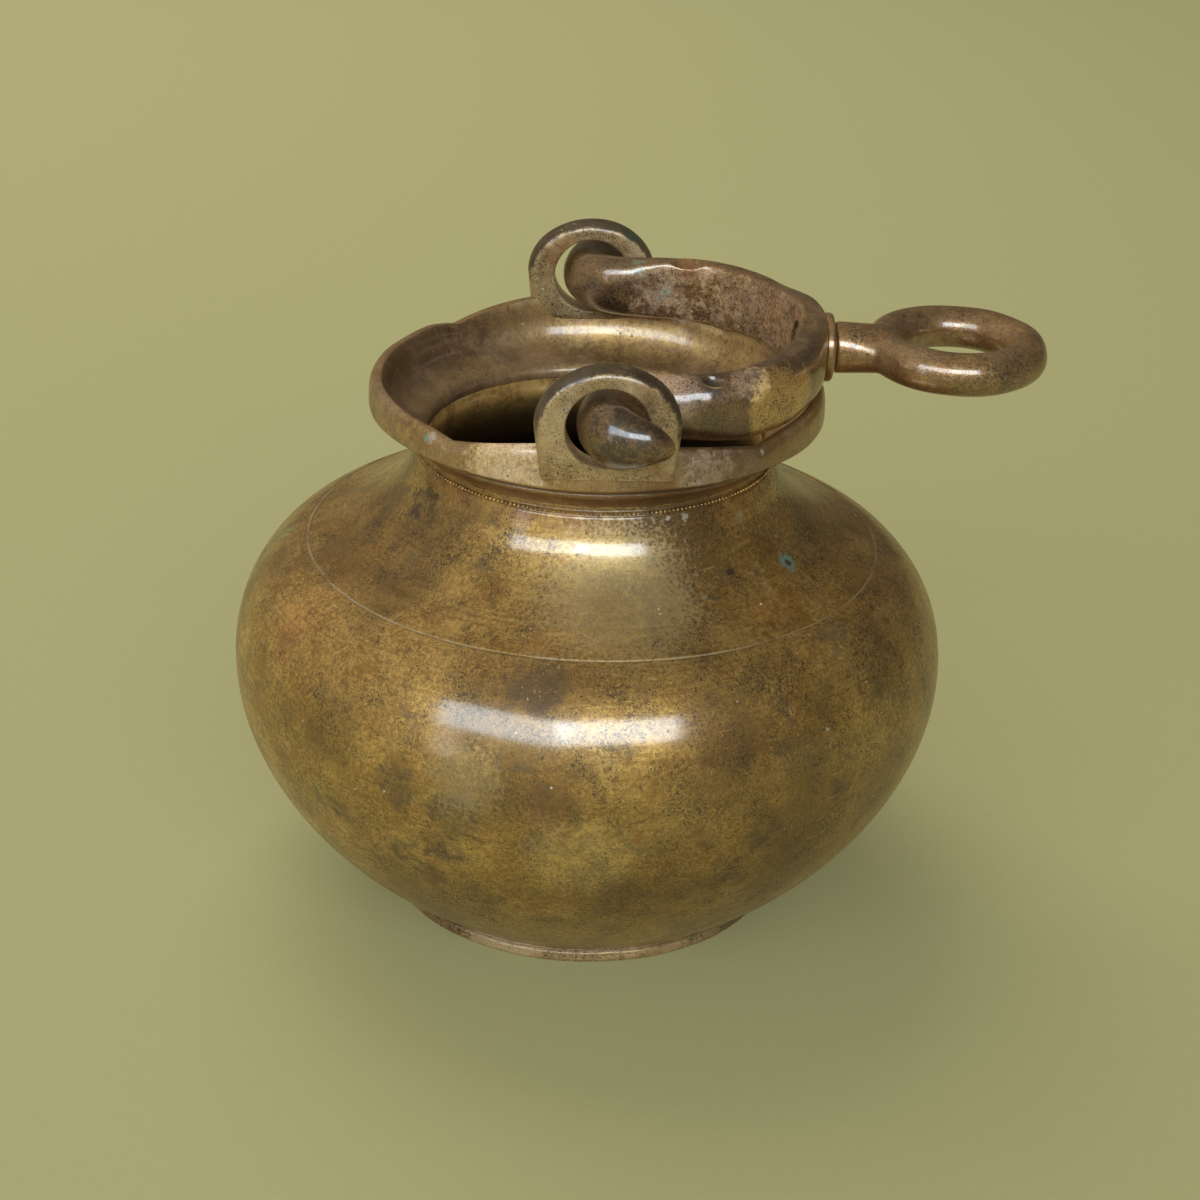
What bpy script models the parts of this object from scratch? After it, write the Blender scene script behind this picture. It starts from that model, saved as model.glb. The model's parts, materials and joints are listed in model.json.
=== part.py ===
"""Brass holy water pot: turned body, cast rim with two ears, swinging bail, swivel finger ring.

The foot stands on z = 0 with the pot's axis on Z. The ears stand on the Y axis and the bail
lies over the mouth towards +X, as in the photo. Every size below is in millimetres.
"""
import math

import bmesh
import bpy
from mathutils import Matrix, Vector

MM = 0.001
GAP = 0.3             # clear gap left where two pieces are brazed or bear on each other
STEPS = 56            # facets around the pot's axis
SMALL_STEPS = 32      # facets around a small turned piece

# Foot plate
FOOT_R = 42.7
FOOT_H = 3.0
FOOT_EDGE = 0.5

# Pot body
BELLY_R = 75.0
BELLY_Z = 54.2
BELLY_START_DEG = 34.0      # slope of the wall where it leaves the foot
BELLY_START_PULL = 20.5
BELLY_LOW_PULL = 21.0
BELLY_HIGH_PULL = 13.4
LINE_R = 59.8               # incised line round the shoulder
LINE_RISE = 25.6            # belly to incised line
LINE_SLOPE_DEG = 20.2
LINE_PULL = 8.1
LINE_WIDTH = 0.9
LINE_DEPTH = 0.4
NECK_R = 38.8
NECK_RISE = 15.4            # incised line to the step of the neck
NECK_LEAN = 0.4             # outward run of the neck for each unit of fall
SHOULDER_PULL = 12.0
NECK_PULL = 6.0
WALL = 3.0
FLOOR_T = 3.6

# Neck band and beaded line
STEP_OUT = 0.3
STEP_H = 0.6
BAND_H = 4.5
BAND_IN = 1.8               # how far the band leans in from the step to the beads
BEAD_H = 1.0
BEAD_OUT = 0.5
NECK_WALL = 2.4
JOINT_H = 0.4

# Mouth rim
SCOTIA_H = 3.4
FILLET_OUT = 3.5
FILLET_H = 1.2
UNDERCUT_H = 0.8
UNDERCUT_IN = 0.9
FLARE_H = 2.6
RIM_OUT = 9.6               # rim edge beyond the beaded line
LIP_H = 5.5                 # rim edge to lip
LIP_IN = 2.7                # inner lip inside the rim edge
LIP_ROLL = 1.2              # rounding of the lip's outer side
THROAT_H = 2.2              # straight throat under the funnel
LUG_RISE = 2.0              # how far the rim is raised beside the ears
LUG_DIP = 1.2               # low spot of the lip where a lug ends
LUG_FLAT_DEG = 17.0
LUG_END_DEG = 41.0
DIP_END_DEG = 51.0

# Bail handle
BAIL_H = 13.6               # height of the strap at its crown
BAIL_T = 6.2
BAR_W = 5.0                 # half width of the oval bar
BAR_H = 6.2                 # half height of the oval bar
BAR_SET = 1.1               # bar sits this far behind the swing axis
ARM_PLAY = 1.3              # side play between arm and ear, and between hook and ear
CROWN_SET = 0.8             # crown's middle line inside the lip
CROWN_DEG = 47.0            # half angle of the crown that follows the lip
CROWN_RISE = 1.8            # extra height of the crown's top round the swivel
RISE_DEG = 30.0             # half angle over which the top rises
FINIAL_L = 3.8
FINIAL_DROP = 0.7
FACET_DROP = 1.6            # slope of the worn facet on the crown
NOTCH_X = 20.5
NOTCH_L = 4.6
NOTCH_D = 1.5

# Ears
EAR_T = 6.0
EAR_PROUD = 1.6             # ear face beyond the rim edge
EAR_LIMB = 5.8              # metal beside the hole
EAR_CREST = 3.7             # metal over the hole
EAR_TAPER = 1.3             # how far each leg draws in at the foot
EAR_EDGE = 1.6              # rounding of the outer edge
EAR_SILL = 2.6              # metal under the hole
HOLE_PLAY = 1.8

# Swivel
TENON_R = 3.2
COLLAR_R = 7.0
COLLAR_PROUD = 1.3
COLLAR_EDGE = 0.5
WASHER_R = 5.0
WASHER_T = 1.2
HEAD_R = 4.4
HEAD_T = 0.9
SHANK_R = 5.3
SHANK_L = 25.2              # shank shoulder to ring centre
RING_MID_R = 14.5
RING_BAR_R = 4.4

# Sizes that follow from those above
BASE_Z = FOOT_H + GAP
BASE_R = FOOT_R - 0.3
LINE_Z = BELLY_Z + LINE_RISE
NECK_Z = LINE_Z + NECK_RISE
BAND_R = NECK_R + STEP_OUT
BAND_Z = NECK_Z + STEP_H
BEAD_R = BAND_R - BAND_IN
BEAD_Z = BAND_Z + BAND_H
NECK_TOP = BEAD_Z + BEAD_H / 2 + JOINT_H
THROAT_R = BEAD_R - NECK_WALL
RIM_FOOT = NECK_TOP + GAP
FILLET_Z = RIM_FOOT + SCOTIA_H
FILLET_R = BEAD_R + FILLET_OUT
UNDERCUT_Z = FILLET_Z + FILLET_H + UNDERCUT_H
EDGE_Z = UNDERCUT_Z + FLARE_H
RIM_R = BEAD_R + RIM_OUT
LIP_Z = EDGE_Z + LIP_H
LIP_R = RIM_R - LIP_IN
BAIL_REST = GAP + max(0.0, COLLAR_R - BAIL_H / 2)
PIVOT_Z = LIP_Z + BAIL_REST + BAIL_H / 2
CROWN_R = LIP_R - CROWN_SET
CROWN_IN = CROWN_R - BAIL_T / 2
CROWN_OUT = CROWN_R + BAIL_T / 2
EAR_FRONT = RIM_R + EAR_PROUD
EAR_BACK = EAR_FRONT - EAR_T
HOLE_R = max(BAR_W + BAR_SET, math.hypot(BAR_H, BAR_SET)) + HOLE_PLAY
EAR_W = HOLE_R + EAR_LIMB
EAR_H = HOLE_R + EAR_CREST
EAR_FOOT = PIVOT_Z - HOLE_R - EAR_SILL
ARM_Y = EAR_BACK - ARM_PLAY - BAR_W
HOOK_Y = EAR_FRONT + ARM_PLAY + BAR_W
BEND_R = (HOOK_Y - ARM_Y) / 2
BEND_Y = (HOOK_Y + ARM_Y) / 2
BEND_X = BEND_R - BAR_SET
COLLAR_X = CROWN_OUT + COLLAR_PROUD
SHANK_X = COLLAR_X + GAP
RING_X = SHANK_X + SHANK_L
SPOT_X = CROWN_IN + WASHER_T + HEAD_T + 2 * GAP
WASHER_X = SPOT_X - GAP
HEAD_X = WASHER_X - WASHER_T - GAP


def clear_scene():
    """Remove every object that the file starts with."""
    for item in list(bpy.data.objects):
        bpy.data.objects.remove(item, do_unlink=True)


def make_collection(name):
    """Make a collection under the scene's own."""
    group = bpy.data.collections.new(name)
    bpy.context.scene.collection.children.link(group)
    return group


def make_metal(name, colour, roughness):
    """Make a Principled metal in one plain colour."""
    metal = bpy.data.materials.new(name)
    metal.use_nodes = True
    shader = metal.node_tree.nodes["Principled BSDF"]
    shader.inputs["Base Color"].default_value = (colour[0], colour[1], colour[2], 1.0)
    shader.inputs["Metallic"].default_value = 1.0
    shader.inputs["Roughness"].default_value = roughness
    return metal


def bezier(start, pull_a, pull_b, end, count):
    """Points along a cubic from start to end, both ends included."""
    points = []
    for i in range(count + 1):
        t = i / count
        s = 1.0 - t
        points.append(
            start * s ** 3 + pull_a * (3 * s * s * t) + pull_b * (3 * s * t * t) + end * t ** 3
        )
    return points


def offset_line(points, distance):
    """Move each point of a profile to its left by a distance."""
    moved = []
    for i, here in enumerate(points):
        before = points[max(i - 1, 0)]
        after = points[min(i + 1, len(points) - 1)]
        along = (after - before).normalized()
        moved.append(here + Vector((-along.y, along.x)) * distance)
    return moved


def link_mesh(name, bm, group, origin=(0.0, 0.0, 0.0)):
    """Turn a bmesh in millimetres into a smooth object in metres."""
    bmesh.ops.scale(bm, vec=(MM, MM, MM), verts=bm.verts)
    mesh = bpy.data.meshes.new(name)
    bm.to_mesh(mesh)
    bm.free()
    for face in mesh.polygons:
        face.use_smooth = True
    thing = bpy.data.objects.new(name, mesh)
    thing.location = Vector(origin) * MM
    group.objects.link(thing)
    return thing


def turned(name, profile, group, steps=STEPS, closed=True):
    """Turn a profile of (radius, height) points about Z with a Screw modifier."""
    bm = bmesh.new()
    verts = [bm.verts.new((p[0], 0.0, p[1])) for p in profile]
    for a, b in zip(verts, verts[1:]):
        bm.edges.new((a, b))
    if closed:
        bm.edges.new((verts[-1], verts[0]))
    thing = link_mesh(name, bm, group)
    screw = thing.modifiers.new("Turn", "SCREW")
    screw.axis = "Z"
    screw.angle = math.tau
    screw.steps = steps
    screw.render_steps = steps
    screw.use_merge_vertices = True
    screw.merge_threshold = 0.00002
    screw.use_smooth_shade = True
    return thing


def lie_along_x(thing, z):
    """Lay a piece that was turned about Z along +X at a height."""
    thing.rotation_euler = (0.0, math.pi / 2, 0.0)
    thing.location = (0.0, 0.0, z * MM)


def loft(name, rings, group, closed=False, origin=(0.0, 0.0, 0.0)):
    """Skin a row of rings with equal point counts, capped unless it closes on itself."""
    bm = bmesh.new()
    rows = [[bm.verts.new(p) for p in ring] for ring in rings]
    count = len(rows[0])
    pairs = list(zip(rows, rows[1:]))
    if closed:
        pairs.append((rows[-1], rows[0]))
    for low, high in pairs:
        for i in range(count):
            j = (i + 1) % count
            bm.faces.new((low[i], low[j], high[j], high[i]))
    if not closed:
        bm.faces.new(rows[0])
        bm.faces.new(rows[-1])
    bmesh.ops.recalc_face_normals(bm, faces=bm.faces)
    return link_mesh(name, bm, group, origin)


def cut_box(name, low, high, group):
    """Make a box cutter between two corners."""
    bm = bmesh.new()
    bmesh.ops.create_cube(bm, size=1.0)
    for vert in bm.verts:
        for axis in range(3):
            vert.co[axis] = low[axis] if vert.co[axis] < 0 else high[axis]
    return link_mesh(name, bm, group)


def cut_rod(name, radius, start, end, axis, group):
    """Make a round cutter between two points on a line along X or Y."""
    bm = bmesh.new()
    bmesh.ops.create_cone(
        bm, cap_ends=True, segments=SMALL_STEPS, radius1=radius, radius2=radius,
        depth=(Vector(end) - Vector(start)).length,
    )
    turn = Matrix.Rotation(math.pi / 2, 4, "Y" if axis == "X" else "X")
    bmesh.ops.transform(bm, matrix=turn, verts=bm.verts)
    bmesh.ops.translate(bm, vec=(Vector(start) + Vector(end)) / 2, verts=bm.verts)
    return link_mesh(name, bm, group)


def combine(thing, other, operation):
    """Add an exact boolean and mark the other object as a cutter."""
    step = thing.modifiers.new(operation.title(), "BOOLEAN")
    step.operation = operation
    step.solver = "EXACT"
    step.object = other
    other.hide_render = True
    other.display_type = "WIRE"


def body_profile():
    """Outline of the pot body, from the neck down the outside and back up the inside."""
    slope = math.radians(BELLY_START_DEG)
    fall = math.radians(LINE_SLOPE_DEG)
    neck = Vector((NECK_R, NECK_Z))
    line = Vector((LINE_R, LINE_Z))
    belly = Vector((BELLY_R, BELLY_Z))
    base = Vector((BASE_R, BASE_Z))
    along = Vector((math.cos(fall), -math.sin(fall)))
    shoulder = bezier(
        neck, neck + Vector((NECK_LEAN, -1.0)).normalized() * NECK_PULL,
        line - along * SHOULDER_PULL, line, 8
    )
    upper = bezier(
        line, line + along * LINE_PULL, belly + Vector((0.0, BELLY_HIGH_PULL)), belly, 7
    )
    lower = bezier(
        belly, belly - Vector((0.0, BELLY_LOW_PULL)),
        base + Vector((math.cos(slope), math.sin(slope))) * BELLY_START_PULL, base, 9
    )
    normal = Vector((math.sin(fall), math.cos(fall)))
    groove = [
        line - along * LINE_WIDTH / 2,
        line - normal * LINE_DEPTH,
        line + along * LINE_WIDTH / 2,
    ]
    outside = [
        Vector((BEAD_R - BEAD_OUT, NECK_TOP)),
        Vector((BEAD_R - BEAD_OUT, BEAD_Z + BEAD_H / 2)),
        Vector((BEAD_R, BEAD_Z + BEAD_H / 5)),
        Vector((BEAD_R, BEAD_Z - BEAD_H / 5)),
        Vector((BEAD_R - BEAD_OUT / 3, BEAD_Z - BEAD_H / 2)),
        Vector((BEAD_R + BAND_IN * 0.3, BAND_Z + BAND_H * 0.5)),
        Vector((BAND_R - BAND_IN * 0.25, BAND_Z + BAND_H * 0.16)),
        Vector((BAND_R, BAND_Z)),
        Vector((BAND_R, BAND_Z - STEP_H / 2)),
    ]
    outside += shoulder[:-1] + groove + upper[1:] + lower[1:]
    wall = shoulder[1:-1:2] + upper[1::2] + lower[1:-1:2]
    inside = offset_line(wall, -WALL)
    top_inside = [
        Vector((THROAT_R, NECK_TOP)),
        Vector((THROAT_R, BAND_Z)),
        Vector((NECK_R - WALL, NECK_Z - WALL * 0.7)),
    ]
    bottom_inside = [
        Vector((BASE_R * 0.82, BASE_Z + FLOOR_T + 0.5)),
        Vector((0.0, BASE_Z + FLOOR_T)),
    ]
    bottom = [Vector((0.0, BASE_Z))]
    around = outside + bottom
    back = top_inside + inside + bottom_inside
    return around + back[::-1]


def build_body(group, metal):
    """Turn the pot body."""
    outline = body_profile()
    body = turned("pot_body", outline, group)
    body.data.materials.append(metal)
    return body


def build_foot(group, metal):
    """Turn the foot plate."""
    outline = [
        (0.0, FOOT_H),
        (BASE_R - FOOT_EDGE, FOOT_H),
        (FOOT_R - FOOT_EDGE * 0.6, FOOT_H - FOOT_EDGE),
        (FOOT_R, FOOT_H * 0.55),
        (FOOT_R, FOOT_EDGE),
        (FOOT_R - FOOT_EDGE, 0.0),
        (0.0, 0.0),
    ]
    foot = turned("foot_plate", outline, group, closed=False)
    foot.data.materials.append(metal)
    return foot


def lip_rise(angle):
    """Height of the lip over its plain level at an angle round the axis."""
    off_ear = math.degrees(math.asin(min(1.0, abs(math.cos(angle)))))
    if off_ear < LUG_END_DEG:
        fall = max(0.0, off_ear - LUG_FLAT_DEG) / (LUG_END_DEG - LUG_FLAT_DEG)
        return LUG_RISE - (LUG_RISE + LUG_DIP) * fall ** 1.2
    climb = min(1.0, (off_ear - LUG_END_DEG) / (DIP_END_DEG - LUG_END_DEG))
    return -LUG_DIP * (1.0 - climb) ** 1.5


def rim_section(angle):
    """Closed section of the rim at an angle: (radius, height) points."""
    rise = lip_rise(angle)
    lip_z = LIP_Z + rise
    crest_r = RIM_R - LIP_ROLL * 0.75
    waist = BEAD_R - BEAD_OUT
    funnel_z = RIM_FOOT + THROAT_H
    depth = LIP_Z - funnel_z
    width = LIP_R - THROAT_R
    return [
        (LIP_R, lip_z - 0.15),
        (LIP_R + LIP_IN * 0.2, lip_z),
        (crest_r, lip_z - 0.2),
        (RIM_R - LIP_ROLL * 0.2, lip_z - LIP_ROLL),
        (RIM_R, (lip_z + EDGE_Z) / 2),
        (RIM_R, EDGE_Z),
        (RIM_R - 0.5, EDGE_Z - 0.6),
        ((RIM_R + FILLET_R) / 2, EDGE_Z - FLARE_H * 0.72),
        (FILLET_R - UNDERCUT_IN, UNDERCUT_Z),
        (FILLET_R - UNDERCUT_IN / 2, FILLET_Z + FILLET_H),
        (FILLET_R, FILLET_Z + FILLET_H * 0.6),
        (FILLET_R - UNDERCUT_IN / 3, FILLET_Z),
        (waist + FILLET_OUT * 0.48, FILLET_Z - SCOTIA_H * 0.24),
        (waist + FILLET_OUT * 0.18, FILLET_Z - SCOTIA_H * 0.55),
        (waist, RIM_FOOT + SCOTIA_H * 0.12),
        (waist, RIM_FOOT),
        (THROAT_R, RIM_FOOT),
        (THROAT_R, funnel_z - 0.3),
        (THROAT_R + 0.5, funnel_z),
        (THROAT_R + width * 0.36, funnel_z + depth * 0.36),
        (THROAT_R + width * 0.7, funnel_z + depth * 0.68),
        (LIP_R - 0.5, LIP_Z - 1.2 + rise * 0.7),
    ]


def build_rim(group, cutters, metal):
    """Loft the rim round the axis, raised beside the ears, and notch it for their feet."""
    rings = []
    for i in range(STEPS):
        angle = math.tau * i / STEPS
        rings.append([
            (r * math.cos(angle), r * math.sin(angle), z) for r, z in rim_section(angle)
        ])
    rim = loft("mouth_rim", rings, group, closed=True)
    rim.data.materials.append(metal)
    half = EAR_W + GAP
    for side, name in ((-1, "front_notch"), (1, "back_notch")):
        ends = sorted((side * BELLY_R, side * LIP_R * 0.75))
        notch = cut_box(
            name, (-half, ends[0], EAR_FOOT - GAP), (half, ends[1], PIVOT_Z), cutters
        )
        combine(rim, notch, "DIFFERENCE")
    return rim


def build_ear(name, side, group, cutters, metal):
    """Extrude an arched plate with a rounded edge, then cut its hole and square its foot."""
    curve = bpy.data.curves.new(name, "CURVE")
    curve.dimensions = "2D"
    curve.fill_mode = "BOTH"
    spline = curve.splines.new("POLY")
    wide = EAR_W - EAR_EDGE
    tall = EAR_H - EAR_EDGE
    below = EAR_FOOT - PIVOT_Z - 3 * EAR_EDGE
    outline = [(wide - EAR_TAPER, below)]
    for i in range(25):
        turn = math.pi * i / 24
        outline.append((wide * math.cos(turn), tall * math.sin(turn)))
    outline.append((EAR_TAPER - wide, below))
    spline.points.add(len(outline) - 1)
    for point, (x, z) in zip(spline.points, outline):
        point.co = (x * MM, z * MM, 0.0, 1.0)
    spline.use_cyclic_u = True
    curve.extrude = (EAR_T / 2 - EAR_EDGE) * MM
    curve.bevel_depth = EAR_EDGE * MM
    curve.bevel_resolution = 2
    shape = bpy.data.objects.new(name + "_outline", curve)
    cutters.objects.link(shape)
    mesh = bpy.data.meshes.new_from_object(shape.evaluated_get(bpy.context.evaluated_depsgraph_get()))
    bpy.data.objects.remove(shape, do_unlink=True)
    middle = side * (EAR_FRONT - EAR_T / 2)
    bm = bmesh.new()
    bm.from_mesh(mesh)
    bpy.data.meshes.remove(mesh)
    bmesh.ops.scale(bm, vec=(1 / MM, 1 / MM, 1 / MM), verts=bm.verts)
    bmesh.ops.remove_doubles(bm, verts=bm.verts, dist=0.001)
    bmesh.ops.transform(bm, matrix=Matrix.Rotation(math.pi / 2, 4, "X"), verts=bm.verts)
    bmesh.ops.translate(bm, vec=(0.0, middle, PIVOT_Z), verts=bm.verts)
    bmesh.ops.recalc_face_normals(bm, faces=bm.faces)
    ear = link_mesh(name, bm, group)
    ear.data.materials.append(metal)
    ends = sorted((side * (EAR_FRONT + EAR_T), side * (EAR_BACK - EAR_T)))
    hole = cut_rod(
        name + "_hole", HOLE_R, (0.0, ends[0], PIVOT_Z), (0.0, ends[1], PIVOT_Z), "Y", cutters
    )
    combine(ear, hole, "DIFFERENCE")
    foot = cut_box(
        name + "_foot", (-2 * EAR_W, ends[0], EAR_FOOT - 8 * EAR_EDGE),
        (2 * EAR_W, ends[1], EAR_FOOT), cutters
    )
    combine(ear, foot, "DIFFERENCE")
    return ear


def half_path():
    """Centre line of half the bail, from the hook to the crown.

    Returns a list of (x, y, direction, share, swell). The share runs from 0 at the oval bar to
    1 at the crown's strap, the swell from 0 to 1 at the swivel, and y outwards from the middle.
    """
    stations = []
    for i in range(1, 11):
        turn = math.pi * i / 10
        x = BEND_X - BEND_R * math.sin(turn)
        y = BEND_Y + BEND_R * math.cos(turn)
        stations.append((x, y, Vector((-math.cos(turn), -math.sin(turn))), 0.0, 0.0))
    crown = math.radians(CROWN_DEG)
    start = Vector((BEND_X, ARM_Y))
    end = Vector((math.cos(crown), math.sin(crown))) * CROWN_R
    back = Vector((-math.sin(crown), math.cos(crown)))
    reach = (end - start).length / 3
    arm = bezier(start, start + Vector((reach, 0.0)), end + back * reach, end, 8)
    for i in range(1, 9):
        before = arm[i - 1]
        after = arm[i + 1] if i < 8 else arm[i] - back
        share = i / 8
        share = share * share * (3 - 2 * share)
        stations.append((arm[i].x, arm[i].y, (after - before).normalized(), share, 0.0))
    for i in range(1, 9):
        turn = crown * (1.0 - i / 8)
        spot = Vector((math.cos(turn), math.sin(turn))) * CROWN_R
        swell = max(0.0, 1.0 - math.degrees(turn) / RISE_DEG)
        swell = swell * swell * (3 - 2 * swell)
        stations.append((spot.x, spot.y, Vector((math.sin(turn), -math.cos(turn))), 1.0, swell))
    return stations


def bail_section(share, swell, grow):
    """Section of the bail as (outward, up): an oval bar that grows into a flat-backed strap."""
    points = []
    count = 16
    for i in range(count):
        turn = math.tau * i / count
        across = math.cos(turn)
        up = math.sin(turn)
        full = 1.0 - 0.4 * swell
        strap_n = math.copysign(abs(across) ** full, across) * BAIL_T / 2
        strap_z = math.copysign(abs(up) ** full, up) * BAIL_H / 2
        if across < -0.01:
            strap_n = -abs(across) ** 0.3 * BAIL_T / 2
            strap_z = math.copysign(abs(up) ** 0.42, up) * BAIL_H / 2
        if up > 0.0:
            strap_z *= 1.0 + swell * CROWN_RISE / (BAIL_H / 2)
        n = BAR_W * across * (1.0 - share) + strap_n * share
        z = BAR_H * up * (1.0 - share) + strap_z * share
        long = math.hypot(n, z)
        points.append((n * (1.0 + grow / long), z * (1.0 + grow / long)))
    return points


def bail_rings(grow=0.0):
    """Rings of the whole bail about its swing axis, grown by a clearance."""
    half = []
    for forward, size in ((1.0, 0.22), (0.95, 0.42), (0.78, 0.66), (0.5, 0.82), (0.2, 0.92)):
        x = BEND_X + FINIAL_L * forward
        drop = -FINIAL_DROP * forward
        ring = []
        for n, z in bail_section(0.0, 0.0, grow):
            ring.append((x, -HOOK_Y - n * size, drop + z * size))
        half.append(ring)
    for x, y, along, share, swell in half_path():
        out = Vector((-along.y, along.x))
        ring = []
        for n, z in bail_section(share, swell, grow):
            ring.append((x - out.x * n, -(y - out.y * n), z))
        half.append(ring)
    other = [[(x, -y, z) for x, y, z in ring] for ring in reversed(half[:-1])]
    return half + other


def build_bail(group, cutters, metal):
    """Loft the bail, bore its crown for the tenon, and cut the worn facet and the two notches."""
    pivot = (0.0, 0.0, PIVOT_Z)
    bail = loft("bail_handle", bail_rings(), group, origin=pivot)
    bail.data.materials.append(metal)
    bore = cut_rod(
        "tenon_bore", TENON_R + GAP, (CROWN_IN - BAIL_T, 0.0, PIVOT_Z),
        (CROWN_OUT + BAIL_T, 0.0, PIVOT_Z), "X", cutters
    )
    combine(bail, bore, "DIFFERENCE")
    spot = cut_rod(
        "washer_seat", WASHER_R + GAP, (CROWN_IN - BAIL_T, 0.0, PIVOT_Z),
        (SPOT_X, 0.0, PIVOT_Z), "X", cutters
    )
    combine(bail, spot, "DIFFERENCE")
    facet = cut_box(
        "worn_facet", (-BAIL_H, -2 * BAIL_H, 0.0), (BAIL_H, 2 * BAIL_H, BAIL_H), cutters
    )
    facet.rotation_euler = (0.0, math.atan2(FACET_DROP, BAIL_T), 0.0)
    top = PIVOT_Z + BAIL_H / 2 + CROWN_RISE
    facet.location = ((CROWN_IN + 0.8) * MM, 0.0, top * MM)
    combine(bail, facet, "DIFFERENCE")
    for side, name in ((-1, "front_notch_cut"), (1, "back_notch_cut")):
        bm = bmesh.new()
        bmesh.ops.create_uvsphere(bm, u_segments=12, v_segments=8, radius=1.0)
        bmesh.ops.scale(bm, vec=(NOTCH_L, NOTCH_D * 1.3, NOTCH_D), verts=bm.verts)
        height = PIVOT_Z + BAR_H + NOTCH_D * 0.5
        bmesh.ops.translate(bm, vec=(NOTCH_X, side * (ARM_Y - 3.0), height), verts=bm.verts)
        combine(bail, link_mesh(name, bm, cutters), "DIFFERENCE")
    return bail


def build_collar(group, cutters, metal):
    """Turn the collar and fit its back to the crown of the bail."""
    back = CROWN_OUT - BAIL_T * 0.4
    outline = [
        (TENON_R + GAP, COLLAR_X),
        (COLLAR_R - COLLAR_EDGE, COLLAR_X),
        (COLLAR_R, COLLAR_X - COLLAR_EDGE),
        (COLLAR_R, back),
        (TENON_R + GAP, back),
    ]
    collar = turned("swivel_collar", outline, group, steps=SMALL_STEPS)
    lie_along_x(collar, PIVOT_Z)
    collar.data.materials.append(metal)
    seat = loft("bail_seat", bail_rings(GAP), cutters, origin=(0.0, 0.0, PIVOT_Z))
    combine(collar, seat, "DIFFERENCE")
    return collar


def build_washer(group, metal):
    """Turn the washer that the shank is riveted over."""
    outline = [
        (TENON_R + GAP, WASHER_X),
        (WASHER_R, WASHER_X),
        (WASHER_R, WASHER_X - WASHER_T * 0.7),
        (WASHER_R - WASHER_T * 0.3, WASHER_X - WASHER_T),
        (TENON_R + GAP, WASHER_X - WASHER_T),
    ]
    washer = turned("rivet_washer", outline, group, steps=SMALL_STEPS)
    lie_along_x(washer, PIVOT_Z)
    washer.data.materials.append(metal)
    return washer


def build_ring(group, cutters, metal):
    """Loft the shank with its tenon and riveted head, and join the ring to it."""
    origin = Vector((COLLAR_X, 0.0, PIVOT_Z))
    stations = []
    for share, size in ((1.0, 0.7), (0.8, 0.88), (0.4, 1.0), (0.0, 1.0)):
        stations.append((HEAD_X - HEAD_T * share, HEAD_R * size, HEAD_R * size))
    stations.append((HEAD_X, TENON_R, TENON_R))
    stations.append((SHANK_X, TENON_R, TENON_R))
    stations.append((SHANK_X, SHANK_R - 0.4, SHANK_R - 0.4))
    root = RING_X - RING_MID_R + RING_BAR_R * 0.35
    for i in range(9):
        t = i / 8
        x = SHANK_X + 0.4 + (root - SHANK_X - 0.4) * t
        wide = SHANK_R + (RING_MID_R * 0.87 - SHANK_R) * t ** 2.6
        tall = SHANK_R + (RING_BAR_R * 0.88 - SHANK_R) * t ** 1.5
        stations.append((x, wide, tall))
    rings = []
    for x, wide, tall in stations:
        ring = []
        for i in range(20):
            turn = math.tau * i / 20
            ring.append((x - origin.x, wide * math.cos(turn), tall * math.sin(turn)))
        rings.append(ring)
    ring = loft("finger_ring", rings, group, origin=origin)
    ring.data.materials.append(metal)
    hoops = []
    for i in range(36):
        turn = math.tau * i / 36
        hoop = []
        for j in range(14):
            round_bar = math.tau * j / 14
            reach = RING_MID_R + RING_BAR_R * math.cos(round_bar)
            hoop.append((
                RING_X + reach * math.cos(turn), reach * math.sin(turn),
                PIVOT_Z + RING_BAR_R * math.sin(round_bar),
            ))
        hoops.append(hoop)
    hoop = loft("ring_hoop", hoops, cutters, closed=True)
    combine(ring, hoop, "UNION")
    return ring


def main():
    """Build every piece of the pot."""
    clear_scene()
    group = make_collection("brass_holy_water_pot")
    cutters = make_collection("cutters")
    body_metal = make_metal("body_brass", (0.42, 0.30, 0.11), 0.34)
    foot_metal = make_metal("foot_brass", (0.44, 0.29, 0.16), 0.45)
    rim_metal = make_metal("rim_brass", (0.37, 0.25, 0.14), 0.42)
    handle_metal = make_metal("handle_brass", (0.24, 0.16, 0.09), 0.40)
    build_foot(group, foot_metal)
    build_body(group, body_metal)
    build_rim(group, cutters, rim_metal)
    build_ear("front_ear", -1, group, cutters, rim_metal)
    build_ear("back_ear", 1, group, cutters, rim_metal)
    build_bail(group, cutters, handle_metal)
    build_collar(group, cutters, handle_metal)
    build_washer(group, handle_metal)
    build_ring(group, cutters, handle_metal)


main()
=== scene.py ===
"""Looks of a brass holy water pot: turned body, cast rim and ears, swinging bail, finger ring.

Each CAD node is rebuilt finely in its own place and dressed as aged, handled brass. Sizes are in
millimetres in the CAD's frame: the pot's axis on Z, its ears on Y and the bail resting towards +X.
"""
import json
import logging
import math
from collections.abc import Sequence
from dataclasses import dataclass
from enum import Enum

import bmesh
import bpy
import numpy as np
from mathutils import Matrix, Vector


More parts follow.
